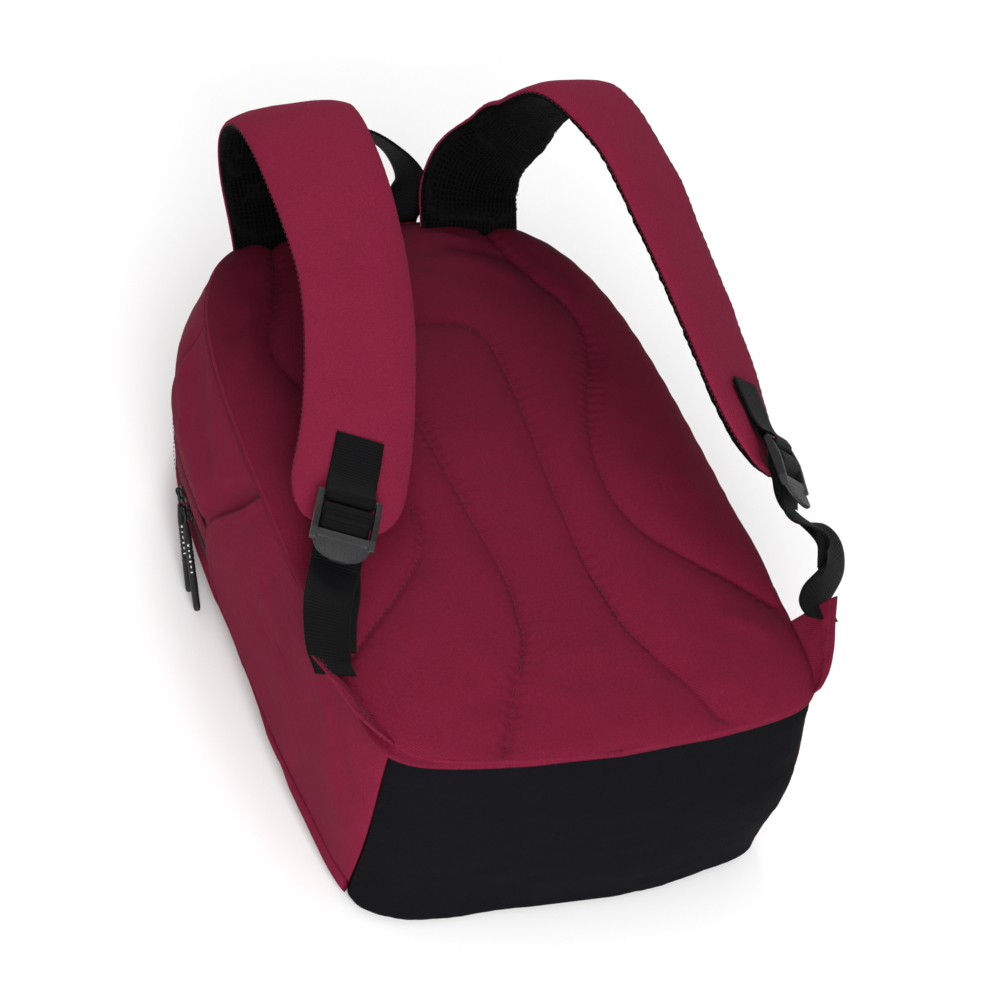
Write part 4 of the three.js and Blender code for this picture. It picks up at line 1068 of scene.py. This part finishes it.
strapPaths = {}
for side, word in ((-1, "left"), (1, "right")):
    s = strapLook
    knots = strapKnots(side, word)
    path = ribbonPath(knots, s["step"])
    strapPaths[word] = path
    point, along, across, out = path["points"], path["along"], path["across"], path["out"]
    half = strapHalf(path["run"], path["length"])
    # the sewn-in end runs on into the top seam
    extra = np.arange(s["tuck"], 0, -s["step"])[:, None]
    point = np.vstack([point[:1] - along[:1] * extra * 0.9, point])
    frameOf = [np.vstack([np.repeat(v[:1], len(extra), 0), v]) for v in (along, across, out)]
    along, across, out = frameOf
    half = np.concatenate([np.full(len(extra), half[0]), half])
    run = np.concatenate([-extra[:, 0], path["run"]])
    grow = smooth((run + s["tuck"]) / 26)
    a, o = strapSection(half, s["thickness"], s["around"])
    o = o * mix(0.35, 1, grow)[:, None]
    endPinch = mix(0.55, 1, smooth((path["length"] - run) / 20))
    o = o * endPinch[:, None]
    rel = a / half[:, None]
    top = np.clip(o / 2.0, 0, 1)
    runGrid = np.broadcast_to(run[:, None], a.shape)
    flat = np.stack([runGrid, a], -1)
    bend = np.exp(-((run - 62) / 50) ** 2)[:, None]
    o = o + top * (0.55 * ripple(flat, 95, 41 + side, 2) + 0.2 * ripple(flat, 24, 44 + side, 3)
                   + strapCreases(word, runGrid, a, half[:, None]) * (1 - np.abs(rel) ** 6))
    o = o + s["pucker"] * np.exp(-((1 - np.abs(rel)) * half[:, None] / 4.5) ** 2) \
        * np.sin(2 * math.pi * runGrid / 6.6 + np.sin(runGrid / 17)) * top
    rings = point[:, None] + across[:, None] * a[..., None] + out[:, None] * o[..., None]
    cloth = np.stack([a, runGrid, np.zeros_like(a)], -1)
    # the strap cloth is drawn in the lighter painted-light copy of the burgundy
    strap = tubePiece("strapCloth_" + word, rings, burgundyStrapPaintedLight, cloth=cloth)
    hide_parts("strap_shell_" + word, "strap_foam_" + word)

    # air mesh pad under the cloth, bulging a little between the sewn edges
    use = run <= path["length"] - 1.5
    turn = np.linspace(0, 2 * math.pi, 44, endpoint=False)
    c, n = np.cos(turn), np.sin(turn)
    rel = np.sign(c) * np.abs(c) ** 0.55
    aa = np.maximum(half - s["meshInset"], 3)[use][:, None] * rel[None]
    rr = np.broadcast_to(run[use][:, None], aa.shape)
    flat = np.stack([rr, aa], -1)
    deep = s["thickness"] / 2 + s["meshHeight"] * (1 - np.abs(rel) ** 8)
    oo = np.where(n > 0, -0.4 * np.abs(n) ** 0.5, -0.4 - (deep - 0.4) * np.abs(n) ** 0.45)
    oo = oo * (mix(0.35, 1, grow) * endPinch)[use][:, None]
    low = np.clip(-oo - 1.0, 0, 1)
    oo = oo + low * (bend[use] * ripple(flat * np.array([2.6, 0.6]), 60, 47 + side, 2)
                     + 0.25 * ripple(flat, 11, 55, 2))
    oo = oo + 0.35 * low * np.exp(-((1 - np.abs(rel)) * half[use][:, None] / 5) ** 2) \
        * np.sin(2 * math.pi * rr / 8.3 + np.sin(rr / 15))
    rings = point[use][:, None] + across[use][:, None] * aa[..., None] + out[use][:, None] * oo[..., None]
    meshCloth = np.stack([aa, rr, oo], -1)
    meshPad = tubePiece("strapMesh_" + word, rings, airMesh, cloth=meshCloth)
    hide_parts("strap_mesh_" + word)
    trim = [strap, meshPad]
    stitchLines = []
    for edge in (-1, 1):
        depth = s["thickness"] / 2 * s["edge"]
        line = point + across * (edge * (half + 0.05))[:, None] - out * depth * 0.4
        keep = (run > 2) & (run < path["length"] - 6)
        stitchLines.append((line[keep], across[keep] * edge))
    places = []
    for points, normals in stitchLines:
        places += stitchPlaces(points, normals, 3.8)
    trim.append(scatterPiece("strapStitches_" + word, places, grain(2.7, 0.55, 0.45), burgundyThread))
    for piece in trim:
        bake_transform(piece)
print("straps made")

# Ladder locks, their tabs and the adjuster webbing

lockLook = {
    "width": 39, "thickness": 4, "height": 13.4, "setback": 13, "barHalf": 2.2, "midBar": (9.5, 14.5),
    "lowBar": (24, 30), "lip": (17, 14), "railWidth": 3.6, "voxel": 0.42, "smoothing": 4,
}
webLook = {"width": 30, "thickness": 1.5, "rib": 0.17, "ribPitch": 2.05, "tabLength": 45,
           "tabClearance": 0.8, "overWing": 3.0}


def strapEndFrame(path, back):
    point, along, across, out = pathAt(path, path["length"] - back)
    return point, along, across, out


def lockAxes(path):
    point, along, across, out = strapEndFrame(path, lockLook["setback"])
    return point + out * lockLook["height"], along, across, out


def toObject(name, builder, material):
    # joins closed parts into one hard piece
    points, faces = [], []
    for partPoints, partFaces in builder:
        start = len(points)
        points += [tuple(p) for p in partPoints]
        faces += [tuple(start + i for i in f) for f in partFaces]
    return makePiece(name, np.array(points), faces, None, material)


def barPart(length, radiusY, radiusZ, centre, power=0.55, sides=20, steps=6):
    # a bar along x with a rounded rectangular section
    turn = np.linspace(0, 2 * math.pi, sides, endpoint=False)
    c, n = np.cos(turn), np.sin(turn)
    y = np.sign(c) * np.abs(c) ** power * radiusY
    z = np.sign(n) * np.abs(n) ** power * radiusZ
    points, faces = [], []
    for i in range(steps + 1):
        x = mix(-length / 2, length / 2, i / steps)
        points += [(x + centre[0], centre[1] + y[k], centre[2] + z[k]) for k in range(sides)]
    faces += [tuple(f) for f in gridFaces(steps + 1, sides, wrap=True)]
    faces.append(tuple(range(sides))[::-1])
    faces.append(tuple(range(steps * sides, (steps + 1) * sides)))
    return points, faces


def railPart(x, width, stops):
    # a side rail along y: stops are (y, low, high)
    points, faces = [], []
    for y, low, high in stops:
        points += [(x - width / 2, y, low), (x + width / 2, y, low), (x + width / 2, y, high),
                   (x - width / 2, y, high)]
    faces += [tuple(f)[::-1] for f in gridFaces(len(stops), 4, wrap=True)]
    last = 4 * (len(stops) - 1)
    faces += [(0, 1, 2, 3), (last + 3, last + 2, last + 1, last)]
    return points, faces


def lipPart(steps=18):
    k = lockLook
    rx, ry = k["lip"]
    y0 = k["lowBar"][1] - 1.5
    points, faces = [], []
    rows = 9
    for i in range(rows):
        t = i / (rows - 1)
        y = y0 + (ry + 1.5) * t
        hw = rx * math.sqrt(max(0.0, 1 - (max(0.0, y - k["lowBar"][1]) / (ry + 0.4)) ** 2)) + 0.6
        rise = 2.6 * t * t
        mid = rise - 0.2
        for side in range(steps):
            turn = 2 * math.pi * side / steps
            c, n = math.cos(turn), math.sin(turn)
            points.append((math.copysign(abs(c) ** 0.5, c) * hw, y,
                           mid + math.copysign(abs(n) ** 0.6, n) * 1.55))
    faces += [tuple(f)[::-1] for f in gridFaces(rows, steps, wrap=True)]
    faces.append(tuple(range(steps)))
    faces.append(tuple(range((rows - 1) * steps, rows * steps))[::-1])
    return points, faces


def modifyPiece(obj, *modifiers):
    for kind, settings in modifiers:
        m = obj.modifiers.new(kind.title(), kind)
        for key, value in settings.items():
            setattr(m, key, value)
    graph = bpy.context.evaluated_depsgraph_get()
    made = bpy.data.meshes.new_from_object(obj.evaluated_get(graph))
    obj.modifiers.clear()
    obj.data = made
    return obj


def buildLock(name, path):
    k = lockLook
    hw = k["width"] / 2
    t = k["thickness"] / 2
    railX = hw - k["railWidth"] / 2
    stops = [(-2.4, -1.3, 1.3), (-1.2, -t, t), (2, -t, t + 0.5), (8, -t, t + 1.4), (12, -t, t + 1.8),
             (18, -t, t + 1.4), (24, -t, t + 0.7), (29, -t, t + 0.4), (31.5, -t + 0.5, t)]
    parts = [barPart(2 * hw - 1, k["barHalf"] - 0.1, 1.95, (0, 0, 0), 0.9),
             barPart(2 * hw - 2, (k["midBar"][1] - k["midBar"][0]) / 2, 1.75,
                     (0, sum(k["midBar"]) / 2, -0.1)),
             barPart(2 * hw - 1, (k["lowBar"][1] - k["lowBar"][0]) / 2, 1.9, (0, sum(k["lowBar"]) / 2, 0)),
             railPart(-railX, k["railWidth"], stops), railPart(railX, k["railWidth"], stops), lipPart()]
    for i in range(11):
        parts.append(barPart(1.1, 2.1, 0.6, (mix(-13, 13, i / 10), sum(k["midBar"]) / 2, 1.7), steps=2,
                             sides=8))
    obj = toObject(name, parts, buckleAcetal)
    modifyPiece(obj, ("REMESH", {"mode": "VOXEL", "voxel_size": k["voxel"] / 1000, "use_smooth_shade": True}),
                ("SMOOTH", {"factor": 0.5, "iterations": k["smoothing"]}))
    mesh = obj.data
    mesh.materials.append(buckleLip)
    centres = np.zeros(len(mesh.polygons) * 3)
    mesh.polygons.foreach_get("center", centres)
    alongLock = centres.reshape(-1, 3)[:, 1] * 1000 + bagShape["restCentre"]
    mesh.polygons.foreach_set("material_index", (alongLock > k["lowBar"][0] + 0.6).astype(np.int32))
    # stippled grip dots on the lip
    places = []
    for row in range(5):
        y = k["lowBar"][1] + 2.2 + row * 2.1
        reach = k["lip"][0] * math.sqrt(max(0, 1 - ((y - k["lowBar"][1]) / k["lip"][1]) ** 2)) - 2.4
        count = max(1, int(reach / 1.15))
        for c in range(count):
            x = mix(-reach, reach, (c + 0.5) / count)
            z = 2.6 * ((y - k["lowBar"][1] + 1.5) / (k["lip"][1] + 1.5)) ** 2 + 1.35
            places.append(((x, y, z), np.array([1.0, 0, 0]), np.array([0, 1.0, 0]), np.array([0, 0, 1.0])))
    dots = scatterPiece(name + "_dots", places, grain(0.9, 0.9, 0.5), buckleLip)
    centre, along, across, out = lockAxes(path)
    place = Matrix((
        (across[0] * -1, along[0], out[0], 0), (across[1] * -1, along[1], out[1], 0),
        (across[2] * -1, along[2], out[2], 0), (0, 0, 0, 1)))
    origin = Vector(toFrame(centre))
    shift = Vector((0, bagShape["restCentre"] / 1000, 0))
    for o in (obj, dots):
        o.data.transform(Matrix.Translation(shift))
        o.data.transform(Matrix.Translation(origin) @ place)
    return obj, dots


def webbingPiece(name, knots, material, startFold=0.0, endFold=0.0, step=0.5):
    # ribbed nylon webbing: a flat band whose ribs are modelled
    k = webLook
    path = ribbonPath(knots, step)
    run = path["run"]
    cols = 13
    turn = np.linspace(-1, 1, cols)
    edge = (1 - np.abs(turn) ** 10) * 0.72 + 0.28
    half = k["width"] / 2
    ribs = k["rib"] * np.sin(2 * math.pi * run / k["ribPitch"])
    thick = k["thickness"] / 2
    a = np.concatenate([turn, turn[::-1]]) * half
    profile = np.concatenate([edge, -edge[::-1]])
    weight = np.concatenate([(1 - np.abs(turn) ** 12), -(1 - np.abs(turn[::-1]) ** 12)])
    fold = np.exp(-(run / 2.2) ** 2) * startFold + np.exp(-((path["length"] - run) / 2.2) ** 2) * endFold
    o = profile[None] * (thick + fold[:, None]) + weight[None] * ribs[:, None]
    rings = path["points"][:, None] + path["across"][:, None] * a[None, :, None] + path["out"][:,
                                                                                               None] * o[...,
                                                                                                         None]
    cloth = np.stack([np.broadcast_to(a[None], o.shape), np.broadcast_to(run[:, None], o.shape), o * 0], -1)
    return tubePiece(name, rings, material, cloth=cloth), path


def crossStitches(path, runs, half, offset, pitch=2.3):
    # rows of stitches across the webbing at the given runs
    places = []
    for at in runs:
        point, along, across, out = pathAt(path, at)
        for x in np.arange(-half + 2, half - 1.9, pitch):
            places.append((point + across * x + out * offset, across, along, out))
    return places


def wingPlace(side, share, reach):
    distance = seamAtHeight(mix(4, 62, share))
    seam = wall(onSide(side, distance), 0.0)
    tilt = math.radians(38)
    return np.array([seam[0] + side * (0.6 + reach * math.cos(tilt)), seam[1],
                     seam[2] + 2 + reach * math.sin(tilt)])


for side, word in ((-1, "left"), (1, "right")):
    path = strapPaths[word]
    centre, along, across, out = lockAxes(path)
    lock, dots = buildLock("ladderLock_" + word, path)
    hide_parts("ladder_lock_" + word)
    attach(lock, "buckle_" + word)
    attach(dots, "buckle_" + word)

    def onStrap(back, off):
        p, _, acrossHere, outHere = strapEndFrame(path, lockLook["setback"] + back)
        return (p + outHere * off, acrossHere)

    def atLock(past, off):
        return (centre + along * past + out * off, across)

    flat = strapLook["thickness"] / 2 + webLook["tabClearance"] + webLook["thickness"] / 2
    loop = lockLook["barHalf"] + 0.3 + webLook["thickness"] / 2 + 0.2
    second = flat + webLook["thickness"] + 0.5
    tabKnots = [onStrap(webLook["tabLength"], flat), onStrap(webLook["tabLength"] * 0.6, flat),
                onStrap(14, flat),
                onStrap(6, flat + 1), atLock(0.4, -loop), atLock(loop * 0.75, -loop * 0.7), atLock(loop, 0),
                atLock(loop * 0.75, loop * 0.7), atLock(0, loop), atLock(-3, loop - 0.8),
                onStrap(9, second + 2.6),
                onStrap(16, second + 0.5), onStrap(webLook["tabLength"] * 0.7, second - 0.2),
                onStrap(webLook["tabLength"] + 1, second - 0.7)]
    tab, tabPath = webbingPiece("strapTab_" + word, tabKnots, blackWebbing)
    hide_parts("strap_tab_" + word)
    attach(tab, "strap_" + word)
    length = tabPath["length"]
    places = crossStitches(tabPath, (length - 2.5, length - 5, length - 27, length - 29.5), 15, 1.05)
    for edge in (-1, 1):
        line = [pathAt(tabPath, r) for r in np.linspace(length - 29, length - 3, 12)]
        pts = np.array([p + a * edge * 12.5 + o * 1.05 for p, _, a, o in line])
        places += stitchPlaces(pts, np.array([o for *_, o in line]), 2.6)
    tabStitches = scatterPiece("strapTabStitches_" + word, places, grain(1.9, 0.5, 0.4), blackThread)
    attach(tabStitches, "strap_" + word)

    top = wingPlace(side, 1.0, 15.6)
    tilt = math.radians(38)
    wide = np.array([math.cos(tilt), 0, side * math.sin(tilt)])
    dip = webLook["width"] * 0.165
    lower, _ = atLock(43, -2.3 - dip)
    over = np.array([-side * math.sin(tilt), 0, math.cos(tilt)]) * webLook["overWing"]
    hangs = [top + over + np.array([0, -11, -0.6]), top + over + np.array([0, 1.0, 0.8])]
    if side > 0:
        outer, upper = np.array([178.0, 81, 165]), np.array([170.0, 91, 182])
        wide = unit(wide * 0.3 + across * 0.9)
        belly = [(outer, wide * 0.35 + across * 0.65), (upper, across)]
        ends = [(upper - out * 4.2, across), (mix(upper, outer, 0.8) - out * 4.0, across)]
    else:
        wide = unit(wide * 0.45 + across * 0.55)
        belly = [(mix(hangs[1], lower, 0.5) + out * 3 + np.array([-4.0, 0, 0]), mix(wide, across, 0.5))]
        ends = [(mix(lower, hangs[1], t) + out * (bend - 3.4) + np.array([3.6 - bend, 0, 0]),
                 mix(across, wide, t))
                for t, bend in ((0.25, 1.6), (0.5, 2.6), (0.88, 0.8))]
    runKnots = [(hangs[0], wide), (hangs[1], wide)] + belly + [
                atLock(43, -2.3 - dip), atLock(31, -2 - dip / 2), atLock(24.5, -3.4), atLock(19.2, -0.6),
                atLock(16, 2.6), atLock(12, 3.4), atLock(8.2, 2.6), atLock(5.9, -0.4), atLock(8, -4.2),
                atLock(14, -6.2), atLock(24, -7.4), atLock(36, -9)] + ends
    webbing, webPath = webbingPiece("adjusterWebbing_" + word, runKnots, blackWebbing, endFold=0.7)
    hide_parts("adjuster_webbing_" + word)
    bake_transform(webbing)
    places = crossStitches(webPath, (webPath["length"] - 3, webPath["length"] - 5.5), 15, -1.05)
    tailStitches = scatterPiece("webbingTailStitches_" + word, places, grain(1.9, 0.5, 0.4), blackThread)
    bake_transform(tailStitches)
print("buckles and webbing made")

# Corner wings: cloth folded over the webbing end and sewn into the seam

wingLook = {"reach": 30, "low": 4, "high": 62, "thickness": 3.2, "tilt": 38, "tuck": 4, "columns": 44,
            "rows": 30}
for side, word in ((-1, "left"), (1, "right")):
    k = wingLook
    tilt = math.radians(k["tilt"])
    along = np.linspace(0, 1, k["columns"])
    seamPoints = np.array([wingPlace(side, a, 0.0) for a in along])
    way = np.array([side * math.cos(tilt), 0, math.sin(tilt)])
    up = np.array([-side * math.sin(tilt), 0, math.cos(tilt)])
    full = k["reach"] * (0.06 + 0.94 * along)
    # closed section: out along the upper face, round the fold, back along the lower face
    turn = np.linspace(0, 1, 2 * k["rows"], endpoint=False)
    reachShare = np.where(turn < 0.5, turn * 2, 2 - turn * 2)
    upper = np.where(turn < 0.5, 1.0, -1.0)
    puff = k["thickness"] / 2 * (0.5 + 0.6 * np.sqrt(np.clip(1 - reachShare, 0, 1)) * (reachShare > 0.05)
                                 + 0.5 * np.exp(-((reachShare - 0.72) / 0.2) ** 2))
    puff = puff * np.sqrt(np.clip(1 - reachShare ** 8, 0, 1))
    rooted = full[:, None] * reachShare[None] - k["tuck"] * (1 - reachShare[None])
    rings = seamPoints[:, None] + way * rooted[...,
                                               None] - np.array([0, 0, 2.0]) * (1 - reachShare[None])[...,
                                                                                                      None]
    wave = 0.8 * np.sin(along * 9 + 1.2)[:, None] * reachShare[None] ** 2 \
        + 0.5 * ripple(np.stack(np.meshgrid(reachShare * 30, along * 58), -1), 26, 63 + side,
                       3) * reachShare[None]
    rings = rings + up * (upper * puff)[None, :, None] * np.minimum(1, 0.5 + along)[:, None, None] \
        + up * wave[..., None]
    runAlong = np.broadcast_to(along[:, None] * 58, rings.shape[:2])
    cloth = np.stack([runAlong, full[:, None] * reachShare[None], np.zeros(rings.shape[:2])], -1)
    if side > 0:
        rings, cloth = rings[:, ::-1], cloth[:, ::-1]
    wing = tubePiece("cornerWing_" + word, rings, burgundyTwill, cloth=cloth)
    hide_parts("corner_wing_" + word)
    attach(wing, "bag")
    lines = []
    for back in (2.4, 6.0):
        share = (full - back) / full
        pts = seamPoints + way * (full * share)[:, None] + up * (k["thickness"] / 2 * 0.9 + 0.25)
        keep = along > 0.25
        lines.append((pts[keep], np.tile(up, (keep.sum(), 1))))
    sewnLine("cornerWingStitches_" + word, lines, 3.4, (2.5, 0.6, 0.45), burgundyThread)

# Grab handle

handleLook = {"rootY": 434, "rise": 62, "width": 25, "thickness": 2.3,
              "knots": [(24, 0, 3, (1, 0, 0)), (29, 0.24, 1, (0.9, -0.25, 0.25)),
                        (32, 0.46, 0, (0.5, -0.6, 0.6)),
                        (19, 0.78, 0, (0.15, -0.72, 0.66)), (-8, 1, 0, (0, -0.72, 0.7)),
                        (-21, 0.84, 0, (-0.2, -0.7, 0.68)),
                        (-19, 0.54, 0, (-0.75, -0.5, 0.5)), (-16, 0.28, 1, (-1, -0.1, 0.1)),
                        (-16, 0, 3, (-1, 0, 0))]}
h = handleLook
knots = [((x, h["rootY"] + part * h["rise"] * 0.62 + fwd, 136 + part * h["rise"] * 0.79), wide)
         for x, part, fwd, wide in h["knots"]]
knots = [((knots[0][0][0], knots[0][0][1] - 9, knots[0][0][2] - 3), knots[0][1])] + knots \
    + [((knots[-1][0][0], knots[-1][0][1] - 9, knots[-1][0][2] - 3), knots[-1][1])]
saved = dict(webLook)
webLook.update(width=h["width"], thickness=h["thickness"])
handle, _ = webbingPiece("grabHandle", knots, blackWebbing)
webLook.update(saved)
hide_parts("grab_handle")
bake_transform(handle)

# Main zip sliders and cord pulls

zipLook = {
    "lean": 30, "cord": 2.7, "length": 58, "loop": 3.7, "wire": 0.72,
    "seats": {"low": 281.8, "high": 297.6},
}


def sliderBody(name, seat, across, along, out, size=1.0, bridgeHeight=5.0):
    # two shaped plates, one above the other, with an arched bridge for the pull's wire
    seat, across, along, out = [np.array(v, float) for v in (seat, across, along, out)]
    parts = []

    def plate(z, thick, grow):
        points, faces = [], []
        edge = []
        for step in range(28):
            t = 2 * math.pi * step / 28
            c, s = math.cos(t), math.sin(t)
            half = (4.1 + 0.9 * max(0, s)) * grow
            edge.append((math.copysign(abs(c) ** 0.6, c) * half,
                         math.copysign(abs(s) ** 0.6, s) * 5.4 * grow))
        for level, inset in ((z - thick / 2, 0.35), (z - thick / 4, 0.0), (z + thick / 4, 0.0),
                             (z + thick / 2, 0.45)):
            points += [(x * (1 - inset / 5), y * (1 - inset / 5), level) for x, y in edge]
        faces += [tuple(f) for f in gridFaces(4, 28, wrap=True)]
        faces += [tuple(range(28))[::-1], tuple(range(84, 112))]
        return points, faces

    parts.append(plate(0.6, 1.1, 0.94))
    parts.append(plate(3.0, 1.2, 1.0))
    arch = []
    for step in range(15):
        t = math.pi * step / 14
        arch.append((0, -4.2 * math.cos(t), 3.2 + bridgeHeight * 0.62 * math.sin(t) ** 0.7))
    rings = cordRings(np.array(arch), 1.0, sides=10, squeeze=0.8, up=np.array([1.0, 0, 0]))
    points = [tuple(p) for p in rings.reshape(-1, 3)]
    faces = [tuple(f) for f in gridFaces(len(arch), 10, wrap=True)]
    faces += [tuple(range(10))[::-1], tuple(range(len(points) - 10, len(points)))]
    parts.append((points, faces))
    points, faces = [], []
    for partPoints, partFaces in parts:
        start = len(points)
        points += [seat + size * (across * x + along * y + out * z) for x, y, z in partPoints]
        faces += [tuple(start + i for i in f) for f in partFaces]
    return makePiece(name, np.array(points), faces, None, blackSliderMetal)


def cordPull(name, eye, down, up, scale=1.0):
    # a wire loop through the slider bridge and a ribbed rubber tube over the cord ends
    k = zipLook
    eye, down, up = np.array(eye, float), unit(down), unit(up)
    side = unit(np.cross(down, up))
    up = np.cross(side, down)
    r = k["loop"] * 1.0
    turn = np.linspace(0, 2 * math.pi, 30, endpoint=False)
    middle = eye + down * (r - 1.0)
    loop = middle + r * (down * np.cos(turn)[:, None] * 1.25 + side * np.sin(turn)[:, None])
    tangent = unit(np.roll(loop, -1, 0) - np.roll(loop, 1, 0))
    away = unit(loop - middle)
    ring = np.linspace(0, 2 * math.pi, 8, endpoint=False)
    rings = loop[:, None] + k["wire"] * (np.cos(ring)[None, :, None] * away[:, None]
                                         + np.sin(ring)[None, :, None] * np.cross(tangent, away)[:, None])
    count = 30 * 8
    faces = []
    for i in range(30):
        for j in range(8):
            a, b = i * 8 + j, i * 8 + (j + 1) % 8
            faces.append((a, b, (b + 8) % count, (a + 8) % count))
    points = [tuple(p) for p in rings.reshape(-1, 3)]
    wire = makePiece(name + "_wire", np.array(points), faces, None, blackSliderMetal)

    # the tube: tapered neck, gripping collar, ribs near the end
    start = eye + down * (r * 1.25 + r - 1.6)
    stops = np.linspace(0, 1, 110)
    at = stops * k["length"]
    radius = k["cord"] * np.interp(at, [0, 1.2, 4, 9, 12, 40, 46, k["length"] - 2.4, k["length"] - 0.5,
                                        k["length"]],
                                   [0.45, 0.72, 0.8, 1.02, 1.06, 1.06, 1.0, 0.98, 0.72, 0.25])
    radius = radius - 0.22 * (np.sin(at * 2 * math.pi / 2.9) > 0.35) \
        * smooth((at - 13) / 2) * smooth((40 - at) / 2)
    line = start + down * at[:, None]
    rings = cordRings(line, radius * scale, sides=18, squeeze=0.86, up=np.broadcast_to(up, line.shape))
    tube = tubePiece(name + "_tube", rings, pullTube)
    marks = []
    face = np.array([-0.42, -0.58, 0.7]) if scale == 1.0 else up
    face = unit(face - down * (face @ down))
    side = np.cross(down, face)
    for i, at in enumerate((16, 19.5, 23, 26.5, 30, 33.5)):
        p = start + down * at + face * (k["cord"] * 1.0 * scale)
        shape = ((1.5, 0.9), (0.9, 0.9), (2.0, 0.5), (1.1, 1.1), (1.6, 0.6), (0.8, 1.2))[i]
        marks.append((p, down * shape[0] * 1.3, side * shape[1] * 1.5, face * 0.7))
    mark = scatterPiece(name + "_marks", marks, grain(1.0, 1.0, 1.0), paleMark)
    return wire, tube, mark


lean = math.radians(zipLook["lean"])
for word in ("low", "high"):
    distance = seamAtHeight(zipLook["seats"][word])
    (seat, ahead), (out, _) = wallLine(-1, [distance, distance + 1], w["zipCentre"], zip_["tapeDepth"], 0.0)
    along = unit(ahead - seat)
    across = np.cross(along, out)
    slider = sliderBody("mainSlider_" + word, seat, across, along, out)
    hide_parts("main_slider_" + word)
    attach(slider, "zip_slider_" + word)
    eye = seat + out * 5.3
    down = -math.sin(lean) * across - math.cos(lean) * along
    for piece in cordPull("mainPull_" + word, eye, down, out):
        if piece.name.endswith("tube"):
            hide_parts("main_pull_" + word)
        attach(piece, "zip_pull_" + word)

frontSeat, frontAcross, frontAlong, frontOut = (64, 291.1, 5.7), (0, 0, 1), (1, 0, 0), (0, 1, 0)
slider = sliderBody("frontSlider", frontSeat, frontAcross, frontAlong, frontOut, size=0.6, bridgeHeight=4.0)
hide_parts("front_slider")
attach(slider, "pocket_slider")
eye = np.array(frontSeat) + np.array([0, 4.2, 0])
for piece in cordPull("frontPull", eye, (-1, 0, 0), (0, 1, 0), scale=0.62):
    if piece.name.endswith("tube"):
        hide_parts("front_pull")
    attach(piece, "pocket_pull")

# Seam cord round the back panel: a thin burgundy roll where panel and wall are sewn
cordLook = {"radius": 1.5, "inset": 1.9, "lift": -0.9}
angle = np.linspace(0, seamLength, 1400, endpoint=False)
sx, sy = outline(seamAngle(angle), inset=cordLook["inset"])
line = np.column_stack([sx, sy, np.full(len(sx), bagShape["backSeam"] + cordLook["lift"])])
line = np.vstack([line, line[:1]])
wander = np.linspace(0, 1, len(line))
rings = cordRings(line, cordLook["radius"] * (1 + 0.12 * np.sin(wander * 420)), sides=10,
                  up=np.broadcast_to([0.0, 0, 1], line.shape))
seamCord = tubePiece("backSeamCord", rings, burgundyTwill)
# painted shadow lines along the quilting grooves
seamShadowLine("quiltShadowLines", quiltShadowLines, radius=0.55, drop=0.2)
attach(seamCord, "bag")
print("hardware made")

# Floor, lights, camera

floorMesh = bpy.data.meshes.new("floorPlane")
floorHalf = 3.2
floorMesh.from_pydata([(-floorHalf, -floorHalf, 0), (floorHalf, -floorHalf, 0), (floorHalf, floorHalf, 0),
                       (-floorHalf, floorHalf, 0)], [], [(0, 1, 2, 3)])
floor = bpy.data.objects.new("floorPlane", floorMesh)
bpy.context.scene.collection.objects.link(floor)
floorMaterial, _, floorShader = newMaterial("floorPaper")
floorShader.inputs["Base Color"].default_value = (0.97, 0.97, 0.97, 1)
floorShader.inputs["Roughness"].default_value = 0.8
floorShader.inputs["Specular IOR Level"].default_value = 0.1
floorMesh.materials.append(floorMaterial)

world = bpy.data.worlds.new("studio")
world.use_nodes = True
background = next(n for n in world.node_tree.nodes if n.type == "BACKGROUND")
background.inputs["Color"].default_value = (1, 1, 1, 1)
background.inputs["Strength"].default_value = 0.62
bpy.context.scene.world = world


def areaLight(name, at, target, size, power, tint=(1, 1, 1)):
    data = bpy.data.lights.new(name, "AREA")
    data.shape = "DISK"
    data.size = size
    data.energy = power
    data.color = tint
    lamp = bpy.data.objects.new(name, data)
    bpy.context.scene.collection.objects.link(lamp)
    lamp.location = at
    lamp.rotation_euler = (Vector(target) - Vector(at)).to_track_quat("-Z", "Y").to_euler()
    return lamp


areaLight("keyLight", (-0.5, -1.25, 0.9), (0, -0.05, 0.12), 0.9, 23)
areaLight("backLight", (0.3, 1.7, 1.5), (0, 0, 0.1), 0.9, 18)

cameraData = bpy.data.cameras.new("studioCamera")
cameraData.lens = 120
cameraData.sensor_width = 36
camera = bpy.data.objects.new("studioCamera", cameraData)
bpy.context.scene.collection.objects.link(camera)
camera.matrix_world = Matrix((
    (0.9031, 0.0991, -0.4179, -0.8545), (-0.3505, 0.7325, -0.5836, -1.1795),
    (0.2483, 0.6735, 0.6962, 1.5609), (0, 0, 0, 1)))
bpy.context.scene.camera = camera
bpy.context.scene.view_settings.view_transform = "Standard"

print("scene ready")
